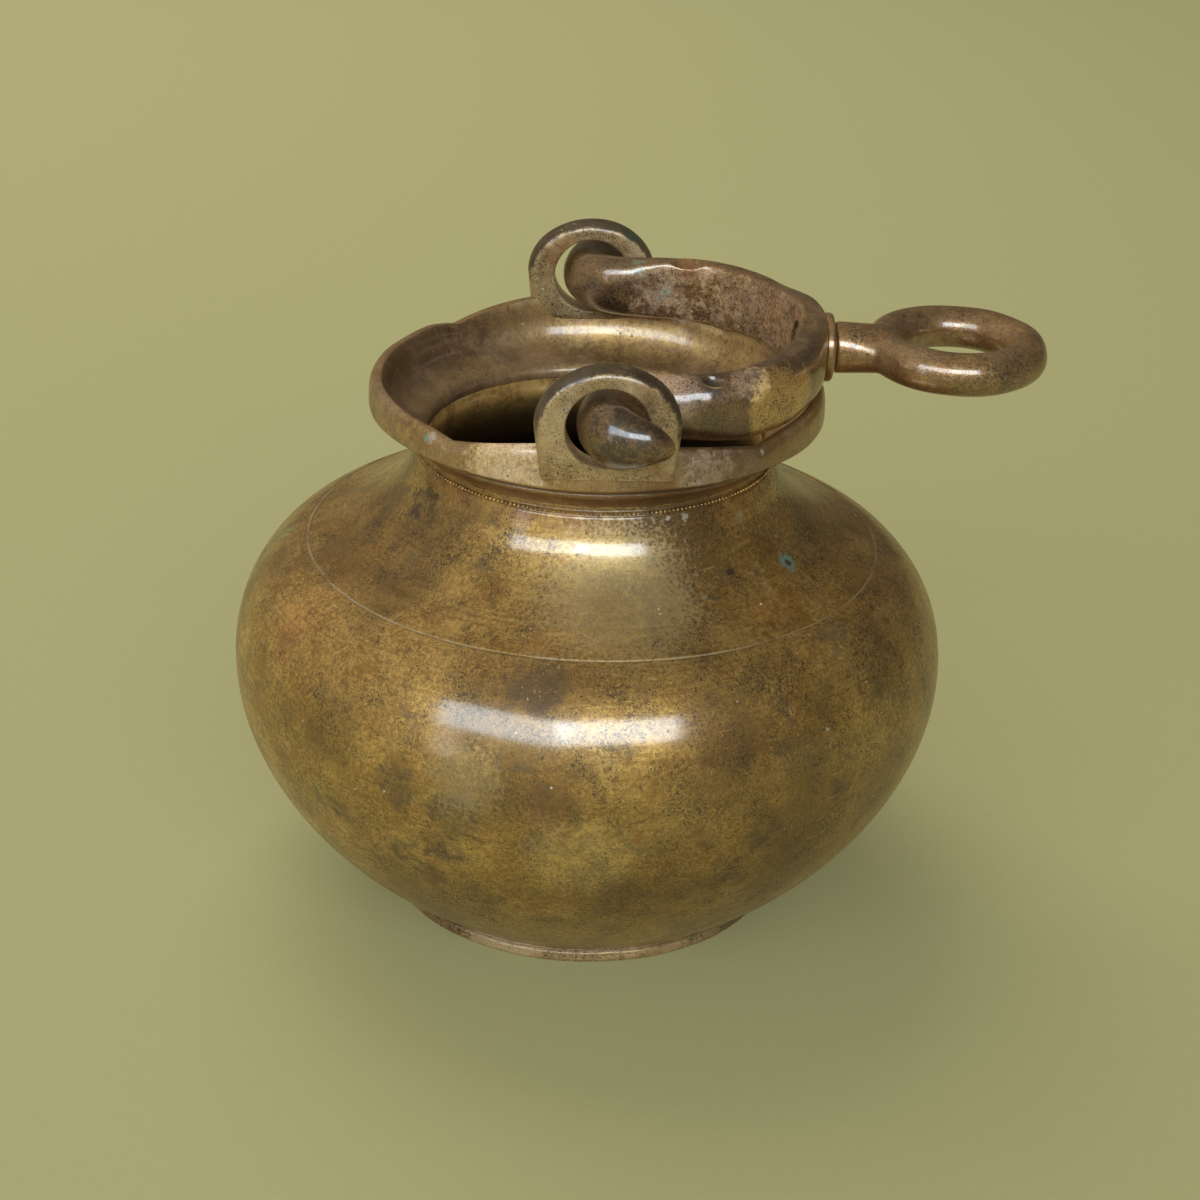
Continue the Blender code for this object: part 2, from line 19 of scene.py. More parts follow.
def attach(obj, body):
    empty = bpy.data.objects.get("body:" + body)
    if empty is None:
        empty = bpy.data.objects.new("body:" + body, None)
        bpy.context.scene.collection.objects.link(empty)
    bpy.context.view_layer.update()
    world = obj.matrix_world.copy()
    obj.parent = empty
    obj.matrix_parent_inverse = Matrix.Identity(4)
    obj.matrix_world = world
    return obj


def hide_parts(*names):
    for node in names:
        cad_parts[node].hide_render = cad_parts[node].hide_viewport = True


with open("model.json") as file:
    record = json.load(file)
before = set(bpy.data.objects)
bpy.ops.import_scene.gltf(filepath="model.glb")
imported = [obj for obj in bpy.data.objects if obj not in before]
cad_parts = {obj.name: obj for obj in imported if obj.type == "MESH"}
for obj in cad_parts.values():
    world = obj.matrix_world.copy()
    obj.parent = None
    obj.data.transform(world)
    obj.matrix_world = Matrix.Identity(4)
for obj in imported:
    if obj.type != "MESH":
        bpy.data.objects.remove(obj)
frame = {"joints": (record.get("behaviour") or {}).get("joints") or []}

LOG = logging.getLogger("holy_water_pot")
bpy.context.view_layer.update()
MM = 0.001
MERGE = 1e-6
CORNER_CUT = 0.25
WAVES = 7
STAIN_REACH = 1.25
STAIN_FALL = 1.6
POT_MIDDLE = (0.0, 0.0, 0.07)

Colour = tuple[float, float, float]
Place = tuple[float, float, float]
Point = tuple[float, float]


class Body(Enum):
    """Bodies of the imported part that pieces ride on."""

    POT = "pot"
    BAIL = "bail"
    RING = "ring"


class Slot(Enum):
    """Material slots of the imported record."""

    BODY = "body_brass"
    FOOT = "foot_brass"
    RIM = "rim_brass"
    HANDLE = "handle_brass"


def bezier(start: Point, pull_a: Point, pull_b: Point, end: Point, count: int) -> np.ndarray:
    """Points along a cubic curve, both ends included.

    Args:
        start: First point.
        pull_a: Handle of the first point.
        pull_b: Handle of the last point.
        end: Last point.
        count: Number of spans.

    Returns:
        An array of count + 1 points.
    """
    t = np.linspace(0.0, 1.0, count + 1)[:, None]
    s = 1.0 - t
    a, b, c, d = (np.asarray(p, float) for p in (start, pull_a, pull_b, end))
    return s ** 3 * a + 3 * s * s * t * b + 3 * s * t * t * c + t ** 3 * d


def round_off(points: np.ndarray, rounds: int, closed: bool) -> np.ndarray:
    """Cut the corners of an outline again and again until they are round.

    Args:
        points: Outline, with close points where an edge stays crisp.
        rounds: How often the corners are cut.
        closed: Whether the last point joins the first.

    Returns:
        The rounded outline, with both ends kept if it is open.
    """
    line = np.asarray(points, float)
    for _ in range(rounds):
        after = np.roll(line, -1, axis=0)
        keep = 1.0 - CORNER_CUT
        cut = np.stack((keep * line + CORNER_CUT * after, CORNER_CUT * line + keep * after), axis=1)
        if closed:
            line = cut.reshape(-1, line.shape[1])
        else:
            inner = cut[:-1].reshape(-1, line.shape[1])
            line = np.vstack((line[:1], inner, line[-1:]))
    return line


def smooth_step(share: float) -> float:
    """Ease a share between 0 and 1."""
    held = min(1.0, max(0.0, share))
    return held * held * (3.0 - 2.0 * held)


def make_object(name: str, points: np.ndarray, faces: Sequence[Sequence[int]]) -> bpy.types.Object:
    """Make a smooth mesh object at the origin.

    Args:
        name: Piece name.
        points: Vertex places in millimetres.
        faces: Corner indices of each face.

    Returns:
        The new object, with doubles merged and its faces pointing outwards.
    """
    mesh = bpy.data.meshes.new(name)
    mesh.from_pydata((np.asarray(points) * MM).tolist(), [], [list(f) for f in faces])
    mend(mesh)
    thing = bpy.data.objects.new(name, mesh)
    bpy.context.scene.collection.objects.link(thing)
    return thing


def mend(mesh: bpy.types.Mesh) -> None:
    """Merge doubles, drop edges without faces, turn the faces outwards and shade them smooth.

    Args:
        mesh: Mesh to mend in place.
    """
    bm = bmesh.new()
    bm.from_mesh(mesh)
    bmesh.ops.remove_doubles(bm, verts=bm.verts, dist=MERGE)
    stray = [edge for edge in bm.edges if not edge.link_faces]
    bmesh.ops.delete(bm, geom=stray, context="EDGES")
    bmesh.ops.recalc_face_normals(bm, faces=bm.faces)
    bm.to_mesh(mesh)
    bm.free()
    mesh.shade_smooth()


def skin(name: str, rows: np.ndarray, loop: bool) -> bpy.types.Object:
    """Skin rows of points into one piece.

    Args:
        name: Piece name.
        rows: Array of rows, each a closed ring of points.
        loop: Whether the last row joins the first; if not, the end rows are poles.

    Returns:
        The new object.
    """
    count, around = rows.shape[:2]
    row = np.arange(count if loop else count - 1)[:, None]
    here, there = row * around, (row + 1) % count * around
    left = np.arange(around)[None, :]
    right = (left + 1) % around
    faces = np.stack((here + left, here + right, there + right, there + left), axis=-1)
    return make_object(name, rows.reshape(-1, 3), faces.reshape(-1, 4).tolist())


def read_places(mesh: bpy.types.Mesh) -> np.ndarray:
    """Read the vertex places of a mesh.

    Args:
        mesh: Mesh to read.

    Returns:
        A row of x, y and z in millimetres for each vertex.
    """
    flat = np.empty(len(mesh.vertices) * 3, np.float32)
    mesh.vertices.foreach_get("co", flat)
    return flat.reshape(-1, 3).astype(float) / MM


def write_places(mesh: bpy.types.Mesh, places: np.ndarray) -> None:
    """Put vertex places in millimetres back into a mesh."""
    mesh.vertices.foreach_set("co", (places * MM).astype(np.float32).ravel())
    mesh.update()


def read_normals(mesh: bpy.types.Mesh) -> np.ndarray:
    """Read the vertex normals of a mesh.

    Args:
        mesh: Mesh to read.

    Returns:
        A row of x, y and z for each vertex.
    """
    flat = np.empty(len(mesh.vertices) * 3, np.float32)
    mesh.vertex_normals.foreach_get("vector", flat)
    return flat.reshape(-1, 3).astype(float)


def facing_in(places: np.ndarray, normals: np.ndarray) -> np.ndarray:
    """Tell how far each point's surface faces the pot's axis.

    Args:
        places: Points in millimetres.
        normals: Directions of the surface at them.

    Returns:
        One value for each point, 1 where it faces the axis and -1 where it faces away.
    """
    return -(places[:, :2] * normals[:, :2]).sum(1) / np.maximum(np.hypot(places[:, 0], places[:, 1]), 1.0)


@dataclass(frozen=True)
class Dents:
    """Smooth unevenness of handwork: its depth, the size of a lump and the number of its pattern."""

    depth: float
    size: float
    seed: float

    def push(self, places: np.ndarray) -> np.ndarray:
        """Find the push at each point from a sum of leaning waves.

        Args:
            places: Points in millimetres.

        Returns:
            One push in millimetres for each point.
        """
        total = np.zeros(len(places))
        for k in range(WAVES):
            lean = np.array((
                math.sin(self.seed + 1.9 * k), math.sin(2.3 * self.seed + 2.9 * k),
                math.cos(1.3 * self.seed + 4.1 * k),
            ))
            lean *= (0.55 + 0.12 * k) * math.pi / (self.size * np.linalg.norm(lean))
            total += np.sin(places @ lean + self.seed * (k + 1))
        return total / 3.2 * self.depth


def hammer(thing: bpy.types.Object, dents: Dents) -> None:
    """Push a piece's surface in and out, as handwork and wear leave it.

    Args:
        thing: Piece to change.
        dents: Unevenness to give it.
    """
    places = read_places(thing.data)
    write_places(thing.data, places + read_normals(thing.data) * dents.push(places)[:, None])


def mark_relief(thing: bpy.types.Object, spread: int = 3) -> None:
    """Store how far each vertex stands out or lies in, for wear on edges and darkening in corners.

    Args:
        thing: Piece that gets the attribute "relief", 0.5 where it is flat.
        spread: How often the values are averaged with their neighbours.
    """
    mesh = thing.data
    places = read_places(mesh)
    normals = read_normals(mesh)
    edges = np.empty(len(mesh.edges) * 2, np.int32)
    mesh.edges.foreach_get("vertices", edges)
    a, b = edges.reshape(-1, 2).T
    along = places[b] - places[a]
    along /= np.maximum(np.linalg.norm(along, axis=1), MERGE)[:, None]
    total = len(places)
    count = np.maximum(np.bincount(a, minlength=total) + np.bincount(b, minlength=total), 1)
    lean = -np.bincount(a, (normals[a] * along).sum(1), total)
    lean += np.bincount(b, (normals[b] * along).sum(1), total)
    relief = lean / count
    for _ in range(spread):
        beside = np.bincount(a, relief[b], total) + np.bincount(b, relief[a], total)
        relief = 0.5 * relief + 0.5 * beside / count
    store(mesh, "relief", np.clip(0.5 + 2.0 * relief, 0.0, 1.0))


def store(mesh: bpy.types.Mesh, name: str, values: np.ndarray) -> None:
    """Store one value for each vertex under a name that materials read."""
    layer = mesh.attributes.new(name, "FLOAT", "POINT")
    layer.data.foreach_set("value", values.astype(np.float32))


def settle(thing: bpy.types.Object, body: Body, nodes: Sequence[str]) -> None:
    """Give a finished piece its body and the CAD nodes that it stands for.

    Args:
        thing: Finished piece at the origin.
        body: Body that it rides on.
        nodes: CAD nodes that it replaces.
    """
    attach(thing, body.value)
    if nodes:
        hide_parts(*nodes)
    LOG.info("%s: %d faces on %s", thing.name, len(thing.data.polygons), body.value)


class NodeTree:
    """Base of the trees: one method adds any node with its settings and its sockets."""

    def __init__(self, tree: bpy.types.NodeTree) -> None:
        """Keep the tree that nodes are added to."""
        self.tree = tree

    def add(self, kind: str, settings: dict | None = None, inputs: dict | None = None) -> bpy.types.Node:
        """Add a node.

        Args:
            kind: Blender's type name of the node.
            settings: Properties by name, set before the sockets.
            inputs: Values or links by socket name or number.

        Returns:
            The new node.
        """
        node = self.tree.nodes.new(kind)
        for key, value in (settings or {}).items():
            setattr(node, key, value)
        for key, value in (inputs or {}).items():
            self.feed(node.inputs[key], value)
        return node

    def feed(self, socket: bpy.types.NodeSocket, value: object) -> None:
        """Link a socket to another, or set its value.

        Args:
            socket: Input to feed.
            value: Wrapped value, socket, colour, vector, material or number.
        """
        if isinstance(value, Value):
            value = value.socket
        if isinstance(value, bpy.types.NodeSocket):
            self.tree.links.new(value, socket)
        elif isinstance(value, tuple) and socket.type == "RGBA":
            socket.default_value = (*value, 1.0)
        else:
            socket.default_value = value


class Value:
    """A number socket of a shader tree that takes part in Python arithmetic."""

    def __init__(self, paint: "Paint", socket: bpy.types.NodeSocket) -> None:
        """Wrap a socket of a paint's tree."""
        self.paint = paint
        self.socket = socket

    def _math(self, operation: str, first: object, second: object = 0.0) -> "Value":
        """Add a Math node on two values."""
        node = self.paint.add("ShaderNodeMath", {"operation": operation}, {0: first, 1: second})
        return Value(self.paint, node.outputs[0])

    def __add__(self, other: object) -> "Value":
        """Sum."""
        return self._math("ADD", self, other)

    __radd__ = __add__

    def __sub__(self, other: object) -> "Value":
        """Difference."""
        return self._math("SUBTRACT", self, other)

    def __rsub__(self, other: object) -> "Value":
        """Difference from a number."""
        return self._math("SUBTRACT", other, self)

    def __mul__(self, other: object) -> "Value":
        """Product."""
        return self._math("MULTIPLY", self, other)

    __rmul__ = __mul__

    def __truediv__(self, other: object) -> "Value":
        """Quotient."""
        return self._math("DIVIDE", self, other)

    def __pow__(self, other: object) -> "Value":
        """Power."""
        return self._math("POWER", self, other)

    def most(self, other: object) -> "Value":
        """Larger of two values."""
        return self._math("MAXIMUM", self, other)

    def least(self, other: object) -> "Value":
        """Smaller of two values."""
        return self._math("MINIMUM", self, other)

    def step(self, low: float, high: float) -> "Value":
        """Ease from 0 at the low value to 1 at the high one, or fall if the low one is larger.

        Args:
            low: Value where the ease is 0.
            high: Value where it is 1.

        Returns:
            The eased value.
        """
        node = self.paint.add(
            "ShaderNodeMapRange", {"interpolation_type": "SMOOTHSTEP"},
            {"Value": self, "From Min": min(low, high), "From Max": max(low, high)},
        )
        eased = Value(self.paint, node.outputs["Result"])
        return eased if high > low else 1.0 - eased


@dataclass(frozen=True)
class Noise:
    """A cloudy pattern.

    Its lumps have a size in millimetres. Finer layers have a number and a weight. The seed picks the
    pattern, the stretch draws its lumps out along each axis, and the warp bends it by itself.
    """

    size: float
    detail: float
    rough: float
    seed: float
    stretch: Place = (1.0, 1.0, 1.0)
    warp: float = 0.0


@dataclass(frozen=True)
class Dots:
    """Scattered dots, or short strokes where they are stretched.

    Their cells have a size in millimetres. The seed picks the pattern, the reach is a dot's radius in
    cell sizes, the share tells how many cells hold one, and the lean turns the strokes, in radians.
    """

    size: float
    seed: float
    reach: float
    share: float
    stretch: Place = (1.0, 1.0, 1.0)
    lean: float = 0.0


class Paint(NodeTree):
    """A material in the making, with patterns sized in millimetres on Object coordinates."""

    SHIFT = (1.0, 1.7, 2.3)
    LEAN_OVER = 0.8
    DOT_CORE = 0.5
    LOT_EDGE = 0.02
    FRAYING = 2.2
    SPOT_CORE = 0.55

    def __init__(self, name: str) -> None:
        """Start a material with a Principled shader.

        Args:
            name: Material name.
        """
        self.material = bpy.data.materials.new(name)
        self.material.use_nodes = True
        super().__init__(self.material.node_tree)
        self.tree.nodes.clear()
        self.shader = self.add("ShaderNodeBsdfPrincipled")
        output = self.add("ShaderNodeOutputMaterial")
        self.tree.links.new(self.shader.outputs["BSDF"], output.inputs["Surface"])
        coords = self.add("ShaderNodeTexCoord")
        self.place = self.add(
            "ShaderNodeVectorMath", {"operation": "SCALE"},
            {0: coords.outputs["Object"], "Scale": 1.0 / MM},
        ).outputs[0]
        parts = self.add("ShaderNodeSeparateXYZ", {}, {0: self.place})
        self.x = Value(self, parts.outputs[0])
        self.y = Value(self, parts.outputs[1])
        self.z = Value(self, parts.outputs[2])

    def attribute(self, name: str) -> Value:
        """One of the piece's own attributes."""
        node = self.add("ShaderNodeAttribute", {"attribute_name": name})
        return Value(self, node.outputs["Fac"])

    def reach(self) -> Value:
        """Distance from the pot's axis."""
        return (self.x * self.x + self.y * self.y) ** 0.5

    def _stretched(self, pattern: Noise | Dots, place: bpy.types.NodeSocket) -> bpy.types.NodeSocket:
        """Scale places so that one unit is one lump of a pattern.

        Args:
            pattern: Pattern with its size, stretch and seed.
            place: Places in millimetres.

        Returns:
            The scaled and shifted places.
        """
        scale = tuple(1.0 / (pattern.size * s) for s in pattern.stretch)
        shift = tuple(pattern.seed * s for s in self.SHIFT)
        node = self.add(
            "ShaderNodeVectorMath", {"operation": "MULTIPLY_ADD"}, {0: place, 1: scale, 2: shift}
        )
        return node.outputs[0]

    def cloud(self, noise: Noise) -> Value:
        """Add a cloudy pattern.

        Args:
            noise: Pattern to add.

        Returns:
            A value between 0 and 1.
        """
        node = self.add(
            "ShaderNodeTexNoise", {},
            {"Vector": self._stretched(noise, self.place), "Scale": 1.0, "Detail": noise.detail,
             "Roughness": noise.rough, "Distortion": noise.warp},
        )
        return Value(self, node.outputs[0])

    def dots(self, dots: Dots) -> Value:
        """Add scattered dots or strokes.

        Args:
            dots: Pattern to add.

        Returns:
            1 in the middle of a dot, 0 outside.
        """
        place = self.place
        if dots.lean:
            place = self.add(
                "ShaderNodeVectorRotate", {"rotation_type": "EULER_XYZ"},
                {"Vector": place, "Rotation": (dots.lean, dots.lean * self.LEAN_OVER, 0.0)},
            ).outputs[0]
        node = self.add(
            "ShaderNodeTexVoronoi", {}, {"Vector": self._stretched(dots, place), "Scale": 1.0}
        )
        off = Value(self, node.outputs["Distance"])
        lot = Value(self, self.add("ShaderNodeSeparateColor", {}, {0: node.outputs["Color"]}).outputs[0])
        held = lot.step(dots.share, dots.share - self.LOT_EDGE)
        return off.step(dots.reach, dots.reach * self.DOT_CORE) * held

    def near(self, centre: Place, radius: float, frayed: Value | None = None) -> Value:
        """Mask round a spot on the piece.

        Args:
            centre: Middle of the spot in millimetres.
            radius: Reach of the spot in millimetres.
            frayed: Noise that frays its edge, if any.

        Returns:
            1 at the middle, falling to 0 at the edge.
        """
        node = self.add("ShaderNodeVectorMath", {"operation": "DISTANCE"}, {0: self.place, 1: centre})
        reach = Value(self, node.outputs["Value"]) / radius
        if frayed is not None:
            reach = reach + (frayed - 0.5) * self.FRAYING
        return reach.step(1.0, self.SPOT_CORE)

    def blend(self, share: object, under: object, over: object) -> bpy.types.NodeSocket:
        """Mix two colours; a share of 1 gives the second."""
        node = self.add("ShaderNodeMix", {"data_type": "RGBA"}, {0: share, 6: under, 7: over})
        return node.outputs[2]

    def multiply(self, colour: object, factor: Colour) -> bpy.types.NodeSocket:
        """Tint a colour by another."""
        node = self.add("ShaderNodeVectorMath", {"operation": "MULTIPLY"}, {0: colour, 1: factor})
        return node.outputs[0]

    def tint(self, colour: object, value: Value) -> bpy.types.NodeSocket:
        """Scale a colour by a value."""
        node = self.add("ShaderNodeVectorMath", {"operation": "SCALE"}, {0: colour, "Scale": value})
        return node.outputs[0]

    def bump(self, height: Value, depth: float) -> bpy.types.NodeSocket:
        """Bump that turns a value into relief of a depth in millimetres."""
        node = self.add("ShaderNodeBump", {}, {"Height": height, "Distance": depth * MM, "Strength": 1.0})
        return node.outputs[0]

    def finish(self, **sockets: object) -> bpy.types.Material:
        """Feed the shader and hand over the material.

        Args:
            sockets: Values by the shader's socket names, with _ for spaces.

        Returns:
            The finished material.
        """
        for key, value in sockets.items():
            self.feed(self.shader.inputs[key.replace("_", " ")], value)
        return self.material


class Marks(Enum):
    """Tool marks that a maker leaves on a piece, as how far they are drawn out along each axis."""

    TURNED = (26.0, 26.0, 0.5)
    FILED = (0.45, 0.45, 6.0)
    CAST = (2.2, 2.2, 1.1)


@dataclass(frozen=True)
class Brass:
    """Colours and surface of one kind of aged brass."""

    name: str
    bright: Colour
    warm: Colour
    brown: Colour
    grey: Colour
    dark: Colour
    dust: Colour
    marks: Marks
    metal: float = 0.74
    rough: float = 0.38
    coat: float = 0.42
    tarnish: float = 0.5
    blotchy: float = 0.8
    speckle: float = 0.95
    patch: float = 11.0
    grain: float = 1.15
    dusty: float = 0.1
    rubbed: float = 0.7
    scored: float = 0.8


class Patina(Enum):
    """Kinds of broad stain, each with the tint that it gives the metal; in places gold and dust also lay
    painted sheen, and smoke and umber painted shade.
    """

    GOLD = (1.22, 1.21, 1.02)
    UMBER = (0.68, 0.52, 0.42)
    SMOKE = (0.44, 0.43, 0.46)
    SOOT = (0.17, 0.16, 0.16)
    VERDIGRIS = (0.62, 1.25, 1.55)
    DUST = (1.52, 1.70, 2.30)

    @property
    def key(self) -> str:
        """Name of the vertex values that hold this stain."""
        return "patina_" + self.name.lower()


@dataclass(frozen=True)
class TintPatch:
    """A broad stain at one place on a piece; a few are painted sheen."""

    kind: Patina
    centre: Place
    radius: float
    strength: float = 0.8


@dataclass(frozen=True)
class Spot:
    """A small spot of another colour at one place on a piece; a few large ones are painted sheen."""

    centre: Place
    radius: float
    colour: Colour
    strength: float = 0.85


@dataclass(frozen=True)
class GlintLine:
    """A painted highlight along a turned line round the axis, kept near one place."""

    radius: float
    height: float
    width: float
    strength: float
    centre: Place
    reach: float


TURQUOISE: Colour = (0.22, 0.40, 0.35)
CHALK: Colour = (0.58, 0.53, 0.43)
# Cream of the painted highlight along turned lines.
LINE_GLINT: Colour = (0.44, 0.35, 0.22)
SOOTY: Colour = (0.04, 0.03, 0.022)
RUST: Colour = (0.36, 0.14, 0.035)
# Pale brass for painted sheen round the highlights.
PAINTED_SHEEN: Colour = (0.64, 0.49, 0.26)

BODY_BRASS = Brass(
    name="aged_body_brass", bright=(0.68, 0.430, 0.122), warm=(0.365, 0.186, 0.037),
    brown=(0.178, 0.088, 0.018), grey=(0.114, 0.080, 0.042), dark=(0.060, 0.034, 0.012),
    dust=(0.34, 0.26, 0.15), marks=Marks.TURNED, dusty=0.05,
)
FOOT_BRASS = Brass(
    name="worn_foot_brass", bright=(0.64, 0.440, 0.220), warm=(0.46, 0.285, 0.130),
    brown=(0.22, 0.125, 0.050), grey=(0.13, 0.092, 0.052), dark=(0.045, 0.028, 0.013),
    dust=(0.56, 0.42, 0.25), marks=Marks.TURNED, metal=0.4, coat=0.1, dusty=0.4,
)
RIM_BRASS = Brass(
    name="cast_rim_brass", bright=(0.56, 0.355, 0.145), warm=(0.320, 0.178, 0.062),
    brown=(0.165, 0.086, 0.030), grey=(0.110, 0.076, 0.042), dark=(0.048, 0.028, 0.012),
    dust=(0.48, 0.36, 0.265), marks=Marks.FILED, coat=0.34, dusty=0.25, speckle=0.45, patch=9.0,
    grain=0.6,
)
EAR_BRASS = Brass(
    name="dusty_ear_brass", bright=(0.56, 0.400, 0.190), warm=(0.40, 0.255, 0.110),
    brown=(0.200, 0.118, 0.048), grey=(0.120, 0.085, 0.048), dark=(0.040, 0.025, 0.012),
    dust=(0.58, 0.45, 0.27), marks=Marks.CAST, metal=0.45, coat=0.22, dusty=0.7, rubbed=0.2, patch=6.0,
    grain=0.8,
)
HANDLE_BRASS = Brass(
    name="dark_handle_brass", bright=(0.53, 0.315, 0.125), warm=(0.235, 0.115, 0.047),
    brown=(0.098, 0.054, 0.029), grey=(0.085, 0.060, 0.044), dark=(0.028, 0.018, 0.012),
    dust=(0.34, 0.265, 0.185), marks=Marks.CAST, rough=0.34, coat=0.46, tarnish=0.54, dusty=0.2, patch=7.0,
    grain=0.6,
)

BODY_STAINS_AND_SHEEN = (
    TintPatch(Patina.VERDIGRIS, (-65.4, 5.5, 76.0), 8.0, 0.55),
    TintPatch(Patina.VERDIGRIS, (-55.0, -49.4, 44.9), 3.0, 0.60),
    TintPatch(Patina.SMOKE, (-12.3, -63.8, 76.9), 8.5, 0.90),
    TintPatch(Patina.SOOT, (-35.0, -17.8, 94.1), 7.5, 0.70),
    TintPatch(Patina.SMOKE, (-38.8, -64.2, 54.4), 7.5, 0.80),
    TintPatch(Patina.SMOKE, (-28.0, -69.6, 51.6), 8.0, 0.95),
    TintPatch(Patina.SMOKE, (-29.8, -67.6, 43.0), 7.0, 0.80),
    TintPatch(Patina.SMOKE, (-37.9, -61.4, 38.6), 5.5, 0.80),
    TintPatch(Patina.SMOKE, (-31.8, -62.3, 33.3), 6.0, 0.80),
    TintPatch(Patina.SMOKE, (-49.2, -54.6, 43.0), 4.5, 0.75),
    TintPatch(Patina.UMBER, (-10.1, -74.3, 56.5), 9.0, 0.70),
    TintPatch(Patina.SMOKE, (-12.9, -73.5, 47.8), 5.0, 0.70),
    TintPatch(Patina.SMOKE, (3.4, -71.9, 67.3), 6.0, 0.65),
    TintPatch(Patina.UMBER, (33.5, -41.8, 82.5), 5.5, 0.70),
    TintPatch(Patina.SMOKE, (35.1, -64.7, 63.9), 3.5, 0.80),
    TintPatch(Patina.SMOKE, (48.6, -57.1, 51.5), 5.0, 0.75),
    TintPatch(Patina.SOOT, (56.5, -33.5, 76.2), 5.5, 0.60),
    TintPatch(Patina.UMBER, (37.9, -59.7, 70.3), 6.0, 0.60),
    TintPatch(Patina.SMOKE, (32.1, -67.0, 46.7), 6.0, 0.70),
    TintPatch(Patina.UMBER, (-59.2, -33.1, 72.5), 13.0, 0.70),
    TintPatch(Patina.GOLD, (-3.6, -73.8, 44.3), 15.0, 0.65),
    # Painted sheen: this gold stands for the soft glow below the neck's highlight.
    TintPatch(Patina.GOLD, (0.0, -46.0, 88.0), 22.0, 0.60),
    # Painted reflection: this gold lies under the lower part of the belly highlight.
    TintPatch(Patina.GOLD, (-24.9, -70.0, 61.6), 9.0, 0.55),
    TintPatch(Patina.UMBER, (20.0, 70.0, 60.0), 14.0, 0.70),
    TintPatch(Patina.SMOKE, (-25.0, 66.0, 45.0), 10.0, 0.80),
    TintPatch(Patina.SMOKE, (52.0, 50.0, 48.0), 9.0, 0.80),
    TintPatch(Patina.SMOKE, (72.0, 5.0, 62.0), 8.0, 0.75),
    TintPatch(Patina.GOLD, (55.0, 48.0, 66.0), 13.0, 0.60),
    TintPatch(Patina.UMBER, (-55.0, 45.0, 64.0), 11.0, 0.70),
    TintPatch(Patina.GOLD, (-70.0, 20.0, 48.0), 12.0, 0.60),
    TintPatch(Patina.SMOKE, (0.0, 55.0, 81.0), 7.0, 0.80),
)
BODY_SPOTS_AND_SHEEN = (
    Spot((38.1, -27.3, 86.3), 2.3, TURQUOISE, 0.9),
    Spot((38.3, -27.4, 86.2), 1.0, SOOTY, 0.9),
    Spot((25.7, -36.5, 87.9), 1.1, SOOTY),
    Spot((7.2, -74.3, 49.5), 1.3, RUST, 0.5),
    Spot((13.0, -35.0, 98.9), 0.6, CHALK, 0.7),
    Spot((16.5, -33.6, 98.7), 0.9, CHALK, 0.75),
    Spot((28.3, -26.9, 96.0), 1.6, CHALK, 0.3),
    Spot((44.3, -58.3, 65.1), 0.6, CHALK, 0.7),
    # Painted sheen: the three pale brass patches below are soft glow round the highlights.
    Spot((3.0, -46.0, 86.5), 19.0, PAINTED_SHEEN, 0.45),
    Spot((-26.0, -69.5, 59.5), 9.0, PAINTED_SHEEN, 0.26),
    Spot((-4.0, -73.8, 44.0), 12.0, PAINTED_SHEEN, 0.20),
)
# Painted highlights along the incised line and the scored line, strongest on the front left.
BODY_GLINT_LINES = (
    GlintLine(59.8, 79.7, 0.36, 0.65, (-30.0, -52.0, 79.7), 125.0),
    GlintLine(52.3, 82.6, 0.45, 0.55, (-14.0, -50.0, 82.6), 22.0),
)
RIM_STAINS = (
    TintPatch(Patina.GOLD, (-41.0, -22.0, 113.0), 14.0, 0.55),
    TintPatch(Patina.UMBER, (10.0, -46.9, 110.5), 5.0, 0.80),
    TintPatch(Patina.UMBER, (-30.0, 34.0, 111.0), 12.0, 0.60),
    TintPatch(Patina.SMOKE, (-38.0, -9.0, 110.0), 11.0, 0.85),
    TintPatch(Patina.SMOKE, (42.0, 20.0, 111.0), 9.0, 0.70),
    TintPatch(Patina.DUST, (-19.0, -43.0, 112.0), 11.0, 0.95),
    TintPatch(Patina.DUST, (20.0, -42.5, 112.0), 8.0, 0.75),
)
RIM_SPOTS = (
    Spot((-33.4, -32.3, 113.7), 1.5, CHALK, 0.6),
    Spot((-34.2, -31.4, 113.4), 0.9, TURQUOISE, 0.7),
    Spot((30.6, -34.8, 113.1), 0.7, CHALK, 0.8),
)
EAR_STAINS = (
    TintPatch(Patina.VERDIGRIS, (8.5, 46.0, 131.5), 4.5, 0.9),
    TintPatch(Patina.UMBER, (11.0, -48.5, 113.5), 4.5, 0.8),
    TintPatch(Patina.UMBER, (8.0, -47.0, 132.0), 8.0, 0.75),
    TintPatch(Patina.UMBER, (-9.0, 46.0, 128.0), 9.0, 0.80),
)
